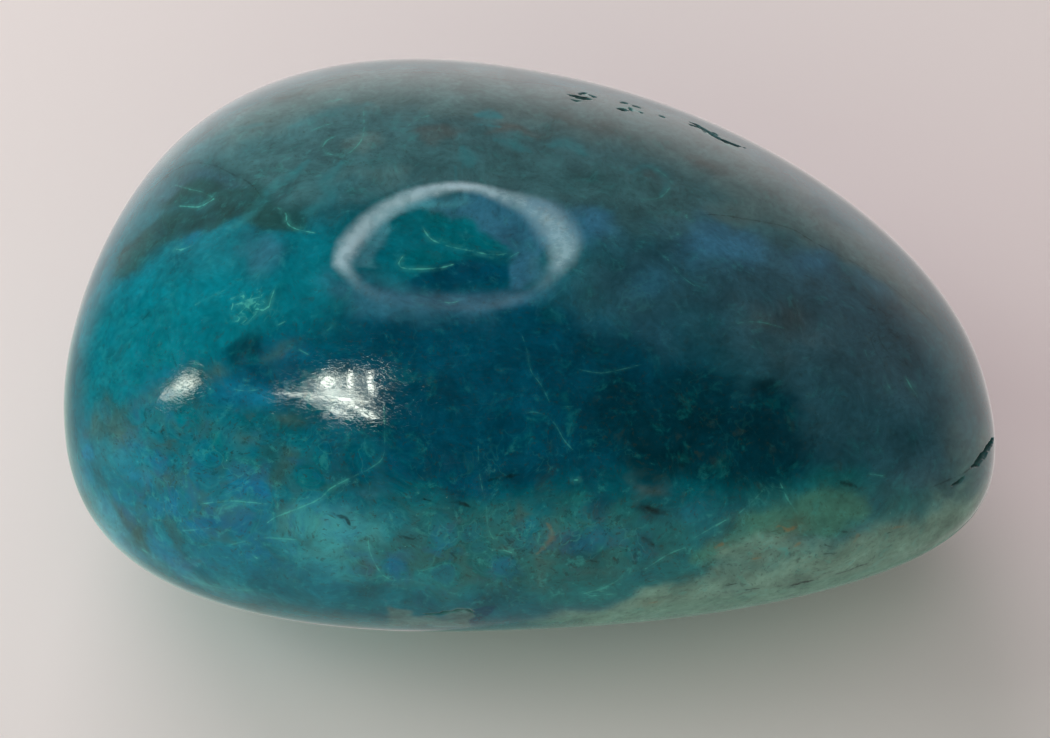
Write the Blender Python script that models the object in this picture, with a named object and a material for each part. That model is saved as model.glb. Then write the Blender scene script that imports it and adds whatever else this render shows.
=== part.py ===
# Chrysocolla palm stone: one loose, polished piece of stone with a thumb hollow on its crown.
# Metres, +Z up. The long axis is X, with the blunt end at -X and the narrow end at +X.
# The origin is the middle of the stone's box, at the height of the surface that it rests on.

import math

import bmesh
import bpy
from mathutils import Vector

MM = 0.001

# Main dimensions, measured from the middle of the stone
HALF_LENGTH = 34.7 * MM
HALF_WIDTH = 23.3 * MM
TOP_HEIGHT = 17.0 * MM
BELLY_DEPTH = 15.6 * MM
FULLNESS = 2.23                     # 2 is an ellipsoid, a higher value is boxier
TAPER = 0.17                        # share of the girth lost at the narrow end and gained at the blunt end
BEND_START = -0.35                  # where the bend starts, as a share of the half length
BEND_SIDEWAYS = -6.0 * MM           # how far the narrow end has moved along Y
BEND_DOWN = -1.8 * MM               # and along Z

# Gentle swells and one dip of the blank, each with its direction from the middle and its share of the radius
SWELLS = (
    (Vector((-0.90, 0.30, 0.30)), -0.032),
    (Vector((-0.85, -0.45, -0.30)), 0.031),
    (Vector((0.90, -0.40, -0.20)), 0.033),
)
SWELL_SPREAD = math.radians(25)

# Worn flat that the stone rests on
FLAT_BELOW = 14.9 * MM              # its depth under the middle
FLAT_BLEND = 0.4 * MM               # height over which the belly rolls into it

# Thumb hollow on the crown: an oval, with its soft rim a little above the stone around it
HOLLOW_X, HOLLOW_Y = -4.6 * MM, -6.1 * MM
HOLLOW_HALF_LENGTH = 9.2 * MM       # from its middle to the top of the rim
HOLLOW_HALF_WIDTH = 5.5 * MM
HOLLOW_DEPTH = 0.9 * MM
HOLLOW_FLOOR = 0.45                 # share of the oval where the wall starts to rise
RIM_RISE = 0.08 * MM
RIM_BREADTH = 0.18                  # as a share of the oval

# Open fissures and pits. A place is the share of the half length along X, and the angle in degrees round
# the long axis from the crown towards -Y. Width and depth are those at the middle of each one.
FISSURES = {
    "end_split": {
        "places": ((0.975, 56.0), (0.955, 56.5), (0.935, 59.0), (0.915, 61.5), (0.895, 62.5)),
        "width": 0.75 * MM, "depth": 0.9 * MM,
    },
    "end_pocket": {
        "places": ((0.872, 66.0), (0.860, 67.0), (0.843, 67.5)),
        "width": 0.45 * MM, "depth": 0.5 * MM,
    },
    "upper_split": {
        "places": ((0.343, -36.4), (0.362, -36.0), (0.392, -33.3), (0.412, -33.0), (0.434, -33.5), (0.455, -34.7)),
        "width": 0.5 * MM, "depth": 0.7 * MM,
    },
    "upper_pit_a": {
        "places": ((0.090, -31.9), (0.112, -31.4), (0.134, -31.8)),
        "width": 0.45 * MM, "depth": 0.4 * MM,
    },
    "upper_pit_b": {
        "places": ((0.196, -30.4), (0.205, -30.6), (0.216, -30.8)),
        "width": 0.4 * MM, "depth": 0.4 * MM,
    },
    "lower_split": {
        "places": ((-0.205, 98.8), (-0.173, 98.6), (-0.145, 97.2), (-0.120, 96.4), (-0.106, 97.8)),
        "width": 0.4 * MM, "depth": 0.5 * MM,
    },
}
BLADE_ABOVE = 0.4 * MM              # how far a cutter stands out of the stone

# Mesh
CELLS = 24                          # squares along each side of the blank's six faces
FINE_OVAL = 1.45                    # the mesh is twice as fine inside this many hollow ovals
NORMAL_STEP = 0.002                 # step over the unit ball, for a normal

# Finish, as seen
STONE_COLOUR = (0.012, 0.165, 0.205, 1.0)
STONE_ROUGHNESS = 0.12


def direction_at(along, angle):
    """Unit direction of a place on the stone."""
    radius = math.sqrt(1 - along * along)
    turn = math.radians(angle)
    return Vector((along, -math.sin(turn) * radius, math.cos(turn) * radius))


def swell_at(direction):
    """Factor by which the swells change the radius."""
    factor = 1.0
    for towards, share in SWELLS:
        closeness = direction.dot(towards.normalized())
        factor *= 1 + share * math.exp((closeness - 1) / (1 - math.cos(SWELL_SPREAD)))
    return factor


def worn_flat(z):
    """Height with the belly cut off at the flat, and rolled into it."""
    level = -FLAT_BELOW
    blend = max(FLAT_BLEND - abs(z - level), 0) / FLAT_BLEND
    return max(z, level) + blend * blend * FLAT_BLEND / 4


def blank_point(direction):
    """Point of the shaped blank, before it is centred and hollowed."""
    size = sum(abs(c) ** FULLNESS for c in direction) ** (1 / FULLNESS)
    unit = direction * (swell_at(direction) / size)
    girth = 1 - TAPER * unit.x
    bend = ((unit.x - BEND_START) / (1 - BEND_START)) ** 2
    height = TOP_HEIGHT if unit.z > 0 else BELLY_DEPTH
    x = HALF_LENGTH * unit.x
    y = HALF_WIDTH * unit.y * girth + BEND_SIDEWAYS * bend
    z = height * unit.z * girth + BEND_DOWN * bend
    return Vector((x, y, worn_flat(z)))


def smooth_step(value):
    t = min(max(value, 0.0), 1.0)
    return t * t * (3 - 2 * t)


def oval_distance(point):
    """Distance from the hollow's middle, 1 at the top of its rim."""
    dx = (point.x - HOLLOW_X) / HOLLOW_HALF_LENGTH
    dy = (point.y - HOLLOW_Y) / HOLLOW_HALF_WIDTH
    return math.hypot(dx, dy)


def hollowed(point):
    """The point lowered into the thumb hollow, or raised with its rim. The underside stays."""
    if point.z < TOP_HEIGHT:
        return point
    oval = oval_distance(point)
    wall = 1 - smooth_step((oval - HOLLOW_FLOOR) / (1 - HOLLOW_FLOOR))
    rim = math.exp(-((oval - 1) / RIM_BREADTH) ** 2)
    return point + Vector((0, 0, RIM_RISE * rim - HOLLOW_DEPTH * wall))


def make_mesh():
    """Ball of near-square cells, shaped into the stone. Returns the mesh and how far it was moved to centre it."""
    bm = bmesh.new()
    bmesh.ops.create_cube(bm, size=2.0)
    bmesh.ops.subdivide_edges(bm, edges=bm.edges[:], cuts=CELLS - 1, use_grid_fill=True)
    for vert in bm.verts:
        vert.co = Vector([math.tan(c * math.pi / 4) for c in vert.co]).normalized()

    # Finer cells where the hollow will be
    points = [blank_point(v.co) for v in bm.verts]
    centre = Vector((
        (min(p.x for p in points) + max(p.x for p in points)) / 2,
        (min(p.y for p in points) + max(p.y for p in points)) / 2,
        min(p.z for p in points),
    ))

    def near_hollow(edge):
        point = blank_point((edge.verts[0].co + edge.verts[1].co).normalized()) - centre
        return point.z > TOP_HEIGHT and oval_distance(point) < FINE_OVAL

    fine = [edge for edge in bm.edges if near_hollow(edge)]
    bmesh.ops.subdivide_edges(bm, edges=fine, cuts=1, use_grid_fill=True)
    for vert in bm.verts:
        vert.co = hollowed(blank_point(vert.co.normalized()) - centre)

    bmesh.ops.triangulate(bm, faces=bm.faces[:])
    bmesh.ops.recalc_face_normals(bm, faces=bm.faces[:])
    mesh = bpy.data.meshes.new("stone")
    bm.to_mesh(mesh)
    bm.free()
    mesh.shade_smooth()
    return mesh, centre


def surface(direction, centre):
    """Point of the finished stone and its outward normal."""
    across = direction.cross(Vector((0, 0, 1))).normalized()
    along = across.cross(direction)
    point = hollowed(blank_point(direction) - centre)
    one = hollowed(blank_point((direction + across * NORMAL_STEP).normalized()) - centre)
    two = hollowed(blank_point((direction + along * NORMAL_STEP).normalized()) - centre)
    normal = (one - point).cross(two - point).normalized()
    if normal.dot(direction) < 0:
        normal.negate()
    return point, normal


def make_blade(name, fissure, centre):
    """Wedge that cuts one fissure: three-sided rings along its places, small at both ends."""
    spots = [surface(direction_at(*place), centre) for place in fissure["places"]]
    bm = bmesh.new()
    rings = []
    for index, (point, normal) in enumerate(spots):
        before = spots[max(index - 1, 0)][0]
        after = spots[min(index + 1, len(spots) - 1)][0]
        side = normal.cross(after - before).normalized()
        share = math.sin(math.pi * (index + 0.5) / len(spots))
        depth = fissure["depth"] * share
        half = fissure["width"] * share / 2 * (depth + BLADE_ABOVE) / depth
        outside = point + normal * BLADE_ABOVE
        corners = (outside + side * half, outside - side * half, point - normal * depth)
        rings.append([bm.verts.new(corner) for corner in corners])
    for one, two in zip(rings, rings[1:]):
        for k in range(3):
            j = (k + 1) % 3
            bm.faces.new((one[k], one[j], two[j], two[k]))
    bm.faces.new(rings[0])
    bm.faces.new(rings[-1])
    bmesh.ops.triangulate(bm, faces=bm.faces[:])
    bmesh.ops.recalc_face_normals(bm, faces=bm.faces[:])
    mesh = bpy.data.meshes.new(name)
    bm.to_mesh(mesh)
    bm.free()
    blade = bpy.data.objects.new(name, mesh)
    bpy.context.collection.objects.link(blade)
    blade.hide_render = True
    blade.display_type = "WIRE"
    return blade


def stone_material():
    """Polished blue-green stone."""
    material = bpy.data.materials.new("polished_chrysocolla")
    material.use_nodes = True
    shader = material.node_tree.nodes["Principled BSDF"]
    shader.inputs["Base Color"].default_value = STONE_COLOUR
    shader.inputs["Roughness"].default_value = STONE_ROUGHNESS
    shader.inputs["Metallic"].default_value = 0.0
    material.diffuse_color = STONE_COLOUR
    return material


def main():
    for old in list(bpy.data.objects):
        bpy.data.objects.remove(old, do_unlink=True)

    mesh, centre = make_mesh()
    stone = bpy.data.objects.new("stone", mesh)
    bpy.context.collection.objects.link(stone)
    stone.data.materials.append(stone_material())
    for name, fissure in FISSURES.items():
        cut = stone.modifiers.new(name, "BOOLEAN")
        cut.operation = "DIFFERENCE"
        cut.solver = "EXACT"
        cut.object = make_blade(name, fissure, centre)


main()
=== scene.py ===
# Chrysocolla palm stone: the polished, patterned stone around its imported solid
import math

import bmesh
import bpy
import numpy as np
from mathutils import Matrix, Vector, noise
from mathutils.bvhtree import BVHTree


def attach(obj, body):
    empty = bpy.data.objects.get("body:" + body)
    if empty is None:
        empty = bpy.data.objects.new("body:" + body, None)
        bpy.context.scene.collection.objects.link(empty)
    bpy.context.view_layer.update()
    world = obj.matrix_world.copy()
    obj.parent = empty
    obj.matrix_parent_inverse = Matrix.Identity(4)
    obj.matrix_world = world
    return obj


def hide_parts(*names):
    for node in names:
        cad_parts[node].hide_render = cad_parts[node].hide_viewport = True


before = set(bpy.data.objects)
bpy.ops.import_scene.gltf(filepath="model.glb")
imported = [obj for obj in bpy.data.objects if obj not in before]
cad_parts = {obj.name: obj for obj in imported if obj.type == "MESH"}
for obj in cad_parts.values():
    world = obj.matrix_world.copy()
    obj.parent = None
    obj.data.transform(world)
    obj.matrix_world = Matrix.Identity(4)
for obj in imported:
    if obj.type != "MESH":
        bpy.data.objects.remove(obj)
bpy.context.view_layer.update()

mm = 0.001
vectorNode, noiseNode, rangeNode = "ShaderNodeVectorMath", "ShaderNodeTexNoise", "ShaderNodeMapRange"
mixNode, splitNode, joinNode = "ShaderNodeMix", "ShaderNodeSeparateXYZ", "ShaderNodeCombineXYZ"
moveNode, attributeNode = "GeometryNodeSetPosition", "ShaderNodeAttribute"
smooth = {"interpolation_type": "SMOOTHSTEP"}
noiseMiddle = (0.5, 0.5, 0.5)   # a noise wanders about this


def addNode(tree, kind, feeds=(), give=0, **settings):
    # one node with its settings and links; a kind in capitals is an operation of the maths node. A list feeds
    # its sockets in order, a dictionary by name. Gives one of its outputs, or the node itself for give=None.
    made = tree.nodes.new("ShaderNodeMath" if kind.isupper() else kind)
    if kind.isupper():
        made.operation = kind
    for name, value in settings.items():
        setattr(made, name, value)
    for socket, value in feeds.items() if isinstance(feeds, dict) else enumerate(feeds):
        if isinstance(value, bpy.types.NodeSocket):
            tree.links.new(value, made.inputs[socket])
        else:
            made.inputs[socket].default_value = value
    return made if give is None else made.outputs[give]


def linearColour(hexValue, alpha=1.0):
    # sRGB hex to the linear value that a shader takes
    parts = [int(hexValue[k:k + 2], 16) / 255 for k in (1, 3, 5)]
    return (*[c / 12.92 if c <= 0.04045 else ((c + 0.055) / 1.055) ** 2.4 for c in parts], alpha)


def setInputs(modifier, values):
    # a modifier's inputs go by the socket's identifier
    for item in modifier.node_group.interface.items_tree:
        if item.item_type == "SOCKET" and item.in_out == "INPUT" and item.name in values:
            modifier[item.identifier] = values[item.name]


# Camera: the photograph's view, worked out from the stone's outline in its 1050 x 738 frame
view = {
    "photoSize": (1050, 738),
    "elevation": 50.0,
    "lens": 85.0,
    "sensor": 36.0,
    "aim": (-0.24, 9.54, 0.0),  # mm
    "distance": 207.2,          # mm from the aim to the lens
    "clip": (0.01, 10.0),       # m
}

camera = bpy.data.objects.new("camera", bpy.data.cameras.new("camera"))
bpy.context.scene.collection.objects.link(camera)
bpy.context.scene.camera = camera
tilt = math.radians(view["elevation"])
towardsLens = Vector((0, -math.cos(tilt), math.sin(tilt)))
pictureUp = Vector((0, math.sin(tilt), math.cos(tilt)))
pictureRight = Vector((1, 0, 0))
camera.location = Vector(view["aim"]) * mm + towardsLens * view["distance"] * mm
camera.rotation_euler = (math.pi / 2 - tilt, 0, 0)
camera.data.lens = view["lens"]
camera.data.sensor_width = view["sensor"]
camera.data.clip_start, camera.data.clip_end = view["clip"]
print("camera stands at", [round(c / mm, 1) for c in camera.location], "mm")


# The stone's form, the same rule and sizes as its solid (mm)
form = {
    "halfLength": 34.7 * mm,
    "halfWidth": 23.3 * mm,
    "topHeight": 17.0 * mm,
    "bellyDepth": 15.6 * mm,
    "fullness": 2.23,           # 2 is an ellipsoid, more is boxier
    "taper": 0.17,              # girth lost at the narrow end, gained at the blunt one
    "bendStart": -0.35,
    "bendSideways": -6.0 * mm,
    "bendDown": -1.8 * mm,
    "flatBelow": 14.9 * mm,     # worn flat that it rests on
    "flatBlend": 0.4 * mm,
    "hollowX": -4.6 * mm,       # thumb hollow on the crown
    "hollowY": -6.1 * mm,
    "hollowHalfLength": 9.2 * mm,
    "hollowHalfWidth": 5.5 * mm,
    "hollowDepth": 0.9 * mm,
    "hollowFloor": 0.45,
    "rimRise": 0.08 * mm,
    "rimBreadth": 0.18,
}
swells = [((-0.90, 0.30, 0.30), -0.032), ((-0.85, -0.45, -0.30), 0.031), ((0.90, -0.40, -0.20), 0.033)]
swellSpread = math.radians(25)

# Open splits and pits. A place is the share of the half length along X and the angle round the long axis,
# from the crown towards the front, in degrees. Width and depth in mm are at the middle of each.
fissures = {
    "endSplit": {"places": [(0.975, 56), (0.955, 56.5), (0.935, 59), (0.915, 61.5), (0.895, 62.5)],
                 "width": 0.75, "depth": 0.9},
    "endPocket": {"places": [(0.872, 66), (0.86, 67), (0.843, 67.5)], "width": 0.45, "depth": 0.5},
    "upperSplit": {"places": [(0.343, -36.4), (0.362, -36), (0.392, -33.3), (0.412, -33), (0.434, -33.5),
                              (0.455, -34.7)], "width": 0.5, "depth": 0.7},
    "upperPitA": {"places": [(0.09, -31.9), (0.112, -31.4), (0.134, -31.8)], "width": 0.45, "depth": 0.4},
    "upperPitB": {"places": [(0.196, -30.4), (0.205, -30.6), (0.216, -30.8)], "width": 0.4, "depth": 0.4},
    "lowerSplit": {"places": [(-0.205, 98.8), (-0.173, 98.6), (-0.145, 97.2), (-0.12, 96.4), (-0.106, 97.8)],
                   "width": 0.4, "depth": 0.5},
}
mesh = {
    "cells": 116,               # squares along each side of the blank's six faces: 0.3 mm each on the stone
    "fineReach": (6.0, 4.0),    # degrees from a fissure inside which the cells are halved, and halved again
    "fineSteps": 8,             # stretches that this is measured from, between two places of a fissure
    "routeStep": 0.25,          # mm between the points of a route
    "cutRagged": 0.6,           # mm by which the noise moves the edge of a fissure, and the size of its grain
    "cutGrain": 0.7,
}


def directionAt(along, angle):
    radius = math.sqrt(1 - along * along)
    turn = math.radians(angle)
    return Vector((along, -math.sin(turn) * radius, math.cos(turn) * radius))


def makeBlank():
    # a ball of near-square cells, finer along the fissures
    ball = bmesh.new()
    bmesh.ops.create_cube(ball, size=2.0)
    bmesh.ops.subdivide_edges(ball, edges=ball.edges[:], cuts=mesh["cells"] - 1, use_grid_fill=True)
    for vert in ball.verts:
        vert.co = Vector([math.tan(c * math.pi / 4) for c in vert.co]).normalized()
    steps = mesh["fineSteps"]
    along = np.array([directionAt(*a).lerp(directionAt(*b), k / steps).normalized() for f in fissures.values()
                      for a, b in zip(f["places"], f["places"][1:]) for k in range(steps + 1)])
    for reach in mesh["fineReach"]:
        middles = np.array([(e.verts[0].co + e.verts[1].co).normalized() for e in ball.edges])
        near = (middles @ along.T).max(1) > math.cos(math.radians(reach))
        fine = [e for e, close in zip(ball.edges, near) if close]
        bmesh.ops.subdivide_edges(ball, edges=fine, cuts=1, use_grid_fill=True)
        for vert in ball.verts:
            vert.co.normalize()
    bmesh.ops.recalc_face_normals(ball, faces=ball.faces[:])
    data = bpy.data.meshes.new("stoneBlank")
    ball.to_mesh(data)
    ball.free()
    made = bpy.data.objects.new("stoneBlank", data)
    bpy.context.scene.collection.objects.link(made)
    return made


def shapeTree():
    # Geometry Nodes: unit ball -> fuller, tapered, bent egg -> worn flat -> centred -> thumb hollow
    tree = bpy.data.node_groups.new("shapeStone", "GeometryNodeTree")
    tree.interface.new_socket("Geometry", in_out="INPUT", socket_type="NodeSocketGeometry")
    for name, value in form.items():
        tree.interface.new_socket(name, in_out="INPUT", socket_type="NodeSocketFloat").default_value = value
    tree.interface.new_socket("Geometry", in_out="OUTPUT", socket_type="NodeSocketGeometry")
    given = tree.nodes.new("NodeGroupInput").outputs

    # fullness: each direction over the sum of its parts to a power
    ball = addNode(tree, "GeometryNodeInputPosition")
    sized = addNode(tree, vectorNode, [ball], operation="ABSOLUTE")
    total = 0.0
    for part in addNode(tree, splitNode, [sized], give=None).outputs:
        power = addNode(tree, "POWER", [part, given["fullness"]])
        total = addNode(tree, "ADD", [power, total])
    root = addNode(tree, "DIVIDE", [-1.0, given["fullness"]])
    radius = addNode(tree, "POWER", [total, root])
    for towards, share in swells:
        closeness = addNode(tree, vectorNode, [ball, Vector(towards).normalized()], 1,
                            operation="DOT_PRODUCT")
        fall = addNode(tree, "SUBTRACT", [closeness, 1.0])
        fall = addNode(tree, "DIVIDE", [fall, 1 - math.cos(swellSpread)])
        fall = addNode(tree, "EXPONENT", [fall])
        swell = addNode(tree, "MULTIPLY_ADD", [fall, share, 1.0])
        radius = addNode(tree, "MULTIPLY", [radius, swell])
    egg = addNode(tree, vectorNode, {0: ball, "Scale": radius}, operation="SCALE")
    x, y, z = addNode(tree, splitNode, [egg], give=None).outputs

    # taper and bend
    girth = addNode(tree, "MULTIPLY", [x, given["taper"]])
    girth = addNode(tree, "SUBTRACT", [1.0, girth])
    run = addNode(tree, "SUBTRACT", [x, given["bendStart"]])
    whole = addNode(tree, "SUBTRACT", [1.0, given["bendStart"]])
    run = addNode(tree, "DIVIDE", [run, whole])
    bend = addNode(tree, "MULTIPLY", [run, run])
    above = addNode(tree, "GREATER_THAN", [z, 0.0])
    height = addNode(tree, mixNode, {"Factor": above, "A": given["bellyDepth"], "B": given["topHeight"]})
    x = addNode(tree, "MULTIPLY", [x, given["halfLength"]])
    y = addNode(tree, "MULTIPLY", [y, given["halfWidth"]])
    z = addNode(tree, "MULTIPLY", [z, height])
    sideways = addNode(tree, "MULTIPLY", [bend, given["bendSideways"]])
    down = addNode(tree, "MULTIPLY", [bend, given["bendDown"]])
    y = addNode(tree, "MULTIPLY_ADD", [y, girth, sideways])
    z = addNode(tree, "MULTIPLY_ADD", [z, girth, down])

    # worn flat, the belly rolled into it
    level = addNode(tree, "SUBTRACT", [0.0, given["flatBelow"]])
    off = addNode(tree, "SUBTRACT", [z, level])
    off = addNode(tree, "ABSOLUTE", [off])
    roll = addNode(tree, "SUBTRACT", [given["flatBlend"], off])
    roll = addNode(tree, "MAXIMUM", [roll, 0.0])
    roll = addNode(tree, "MULTIPLY", [roll, roll])
    roll = addNode(tree, "DIVIDE", [roll, given["flatBlend"]])
    z = addNode(tree, "MAXIMUM", [z, level])
    z = addNode(tree, "MULTIPLY_ADD", [roll, 0.25, z])
    shaped = addNode(tree, joinNode, [x, y, z])
    stone = addNode(tree, moveNode, {"Geometry": given["Geometry"], "Position": shaped})

    # middle of its box over the origin, its flat on the ground
    box = addNode(tree, "GeometryNodeBoundBox", [stone], give=None).outputs
    middle = addNode(tree, vectorNode, [box["Min"], box["Max"]], operation="ADD")
    middle = addNode(tree, vectorNode, [middle, (0.5, 0.5, 0.0)], operation="MULTIPLY")
    lowest = addNode(tree, vectorNode, [box["Min"], (0.0, 0.0, 1.0)], operation="MULTIPLY")
    away = addNode(tree, vectorNode, [middle, lowest], operation="ADD")
    away = addNode(tree, vectorNode, {0: away, "Scale": -1.0}, operation="SCALE")
    stone = addNode(tree, moveNode, {"Geometry": stone, "Offset": away})

    # thumb hollow: an oval wall that falls to a floor, and a soft rim
    spot = addNode(tree, "GeometryNodeInputPosition")
    px, py, pz = addNode(tree, splitNode, [spot], give=None).outputs
    dx = addNode(tree, "SUBTRACT", [px, given["hollowX"]])
    dx = addNode(tree, "DIVIDE", [dx, given["hollowHalfLength"]])
    dy = addNode(tree, "SUBTRACT", [py, given["hollowY"]])
    dy = addNode(tree, "DIVIDE", [dy, given["hollowHalfWidth"]])
    oval = addNode(tree, joinNode, [dx, dy])
    oval = addNode(tree, vectorNode, [oval], 1, operation="LENGTH")
    wall = addNode(tree, rangeNode, [oval, given["hollowFloor"], 1.0, 1.0, 0.0], **smooth)
    rim = addNode(tree, "SUBTRACT", [oval, 1.0])
    rim = addNode(tree, "DIVIDE", [rim, given["rimBreadth"]])
    rim = addNode(tree, "MULTIPLY", [rim, rim])
    rim = addNode(tree, "MULTIPLY", [rim, -1.0])
    rim = addNode(tree, "EXPONENT", [rim])
    rise = addNode(tree, "MULTIPLY", [rim, given["rimRise"]])
    fall = addNode(tree, "MULTIPLY", [wall, given["hollowDepth"]])
    lift = addNode(tree, "SUBTRACT", [rise, fall])
    upper = addNode(tree, "GREATER_THAN", [pz, given["topHeight"]])
    lift = addNode(tree, "MULTIPLY", [lift, upper])
    move = addNode(tree, joinNode, {2: lift})
    stone = addNode(tree, moveNode, {"Geometry": stone, "Offset": move})
    stone = addNode(tree, "GeometryNodeSetShadeSmooth", {"Geometry": stone})
    stone = addNode(tree, "GeometryNodeRealizeInstances", {"Geometry": stone})
    stone = addNode(tree, "GeometryNodeSetMaterial", {"Geometry": stone})
    tree.links.new(stone, tree.nodes.new("NodeGroupOutput").inputs[0])
    return tree


def plainMesh(made, name):
    # the evaluated result as a plain mesh on the same object, its modifiers gone
    graph = bpy.context.evaluated_depsgraph_get()
    data = bpy.data.meshes.new_from_object(made.evaluated_get(graph), preserve_all_data_layers=True,
                                           depsgraph=graph)
    made.modifiers.clear()
    made.data = data
    made.name = data.name = name


stone = makeBlank()
directions = np.array([v.co for v in stone.data.vertices])
shaping = stone.modifiers.new("shapeStone", "NODES")
shaping.node_group = shapeTree()
setInputs(shaping, form)
plainMesh(stone, "polishedStone")
print("stone formed:", [round(c / mm, 2) for c in stone.dimensions], "mm,", len(stone.data.polygons), "cells")


# Routes of fissures and veins: lines that lie on the stone
surface = BVHTree.FromPolygons([v.co for v in stone.data.vertices], [p.vertices for p in stone.data.polygons])
focal = view["lens"] / view["sensor"] * view["photoSize"][0]    # in pixels


def onStone(px, py):
    # the place on the stone that a pixel of the photograph shows, and its normal
    across, down = px - view["photoSize"][0] / 2, py - view["photoSize"][1] / 2
    ray = (pictureRight * across / focal - pictureUp * down / focal - towardsLens).normalized()
    spot, normal, _, _ = surface.ray_cast(camera.location, ray)
    return spot, normal


def nearPlace(place):
    # the formed point of a place on the stone
    nearest = int(np.argmax(directions @ np.array(directionAt(*place))))
    return stone.data.vertices[nearest].co.copy()


def makeRoutes(name, routes):
    # one mesh of lines; each route is its points, with a width and a tone at each
    data = bpy.data.meshes.new(name)
    points, edges, widths, tones = [], [], [], []
    for route in routes:
        edges += [(len(points) + k, len(points) + k + 1) for k in range(len(route) - 1)]
        for spot, width, tone in route:
            points.append(spot)
            widths.append(width)
            tones.append(tone)
    data.from_pydata(points, edges, [])
    for label, values in (("width", widths), ("tone", tones)):
        data.attributes.new(label, "FLOAT", "POINT").data.foreach_set("value", values)
    made = bpy.data.objects.new(name, data)
    bpy.context.scene.collection.objects.link(made)
    return made


def routeTree(kind, cut=False):
    # Geometry Nodes: smooths the lines, lays them on the stone, and stores at each point of the stone the way
    # to the nearest one, its width and its tone. With cut, the stone sinks along them in a V.
    tree = bpy.data.node_groups.new(kind + "Routes", "GeometryNodeTree")
    for name, sort in (("Geometry", "Geometry"), ("routes", "Object"), ("step", "Float"), ("ragged", "Float"),
                       ("grain", "Float")):
        tree.interface.new_socket(name, in_out="INPUT", socket_type="NodeSocket" + sort)
    tree.interface.new_socket("Geometry", in_out="OUTPUT", socket_type="NodeSocketGeometry")
    given = tree.nodes.new("NodeGroupInput").outputs
    result = given["Geometry"]
    lines = addNode(tree, "GeometryNodeObjectInfo", {"Object": given["routes"]}, "Geometry")
    lines = addNode(tree, "GeometryNodeMeshToCurve", [lines])
    lines = addNode(tree, "GeometryNodeCurveSplineType", {"Curve": lines}, spline_type="CATMULL_ROM")
    lines = addNode(tree, "GeometryNodeResampleCurve", {"Curve": lines, "Length": given["step"]},
                    mode="LENGTH")
    lines = addNode(tree, "GeometryNodeCurveToMesh", {"Curve": lines})
    onto = addNode(tree, "GeometryNodeProximity", [result], target_element="FACES")
    lines = addNode(tree, moveNode, {"Geometry": lines, "Position": onto})

    nearest = addNode(tree, "GeometryNodeProximity", [lines], give=None, target_element="EDGES").outputs
    spot = addNode(tree, "GeometryNodeInputPosition")
    way = addNode(tree, vectorNode, [nearest["Position"], spot], operation="SUBTRACT")
    index = addNode(tree, "GeometryNodeSampleNearest", [lines], domain="POINT")
    stored = [("Way", way, "FLOAT_VECTOR"), ("Gap", nearest["Distance"], "FLOAT")]
    for label in ("Width", "Tone"):
        value = addNode(tree, "GeometryNodeInputNamedAttribute", {"Name": label.lower()}, data_type="FLOAT")
        value = addNode(tree, "GeometryNodeSampleIndex", {"Geometry": lines, "Value": value, "Index": index},
                        data_type="FLOAT", domain="POINT")
        stored.append((label, value, "FLOAT"))
    if cut:
        width, tone = stored[2][1], stored[3][1]
        grain = addNode(tree, "DIVIDE", [1.0, given["grain"]])
        grain = addNode(tree, noiseNode, {"Vector": spot, "Scale": grain, "Detail": 3.0})
        grain = addNode(tree, "SUBTRACT", [grain, noiseMiddle[0]])
        gap = addNode(tree, "MULTIPLY_ADD", [grain, given["ragged"], nearest["Distance"]])
        half = addNode(tree, "MULTIPLY", [width, 0.5])
        sunk = addNode(tree, "DIVIDE", [gap, half])
        sunk = addNode(tree, "SUBTRACT", [1.0, sunk], use_clamp=True)
        deep = addNode(tree, "MULTIPLY", [sunk, tone])
        deep = addNode(tree, "MULTIPLY", [deep, -1.0])
        push = addNode(tree, vectorNode, {0: addNode(tree, "GeometryNodeInputNormal"), "Scale": deep},
                       operation="SCALE")
        stored.append(("Sunk", sunk, "FLOAT"))
    for label, value, sort in stored:
        result = addNode(tree, "GeometryNodeStoreNamedAttribute",
                         {"Geometry": result, "Name": kind + label, "Value": value},
                         data_type=sort, domain="POINT")
    if cut:
        result = addNode(tree, moveNode, {"Geometry": result, "Offset": push})
    result = addNode(tree, "GeometryNodeRealizeInstances", {"Geometry": result})
    result = addNode(tree, "GeometryNodeSetMaterial", {"Geometry": result})
    tree.links.new(result, tree.nodes.new("NodeGroupOutput").inputs[0])
    return tree


def layRoutes(kind, routes, cut=False):
    lines = makeRoutes(kind + "Lines", routes)
    laying = stone.modifiers.new(kind, "NODES")
    laying.node_group = routeTree(kind, cut)
    setInputs(laying, {"routes": lines, "step": mesh["routeStep"] * mm, "ragged": mesh["cutRagged"] * mm,
                       "grain": mesh["cutGrain"] * mm})
    plainMesh(stone, "polishedStone")
    bpy.data.objects.remove(lines, do_unlink=True)


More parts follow.
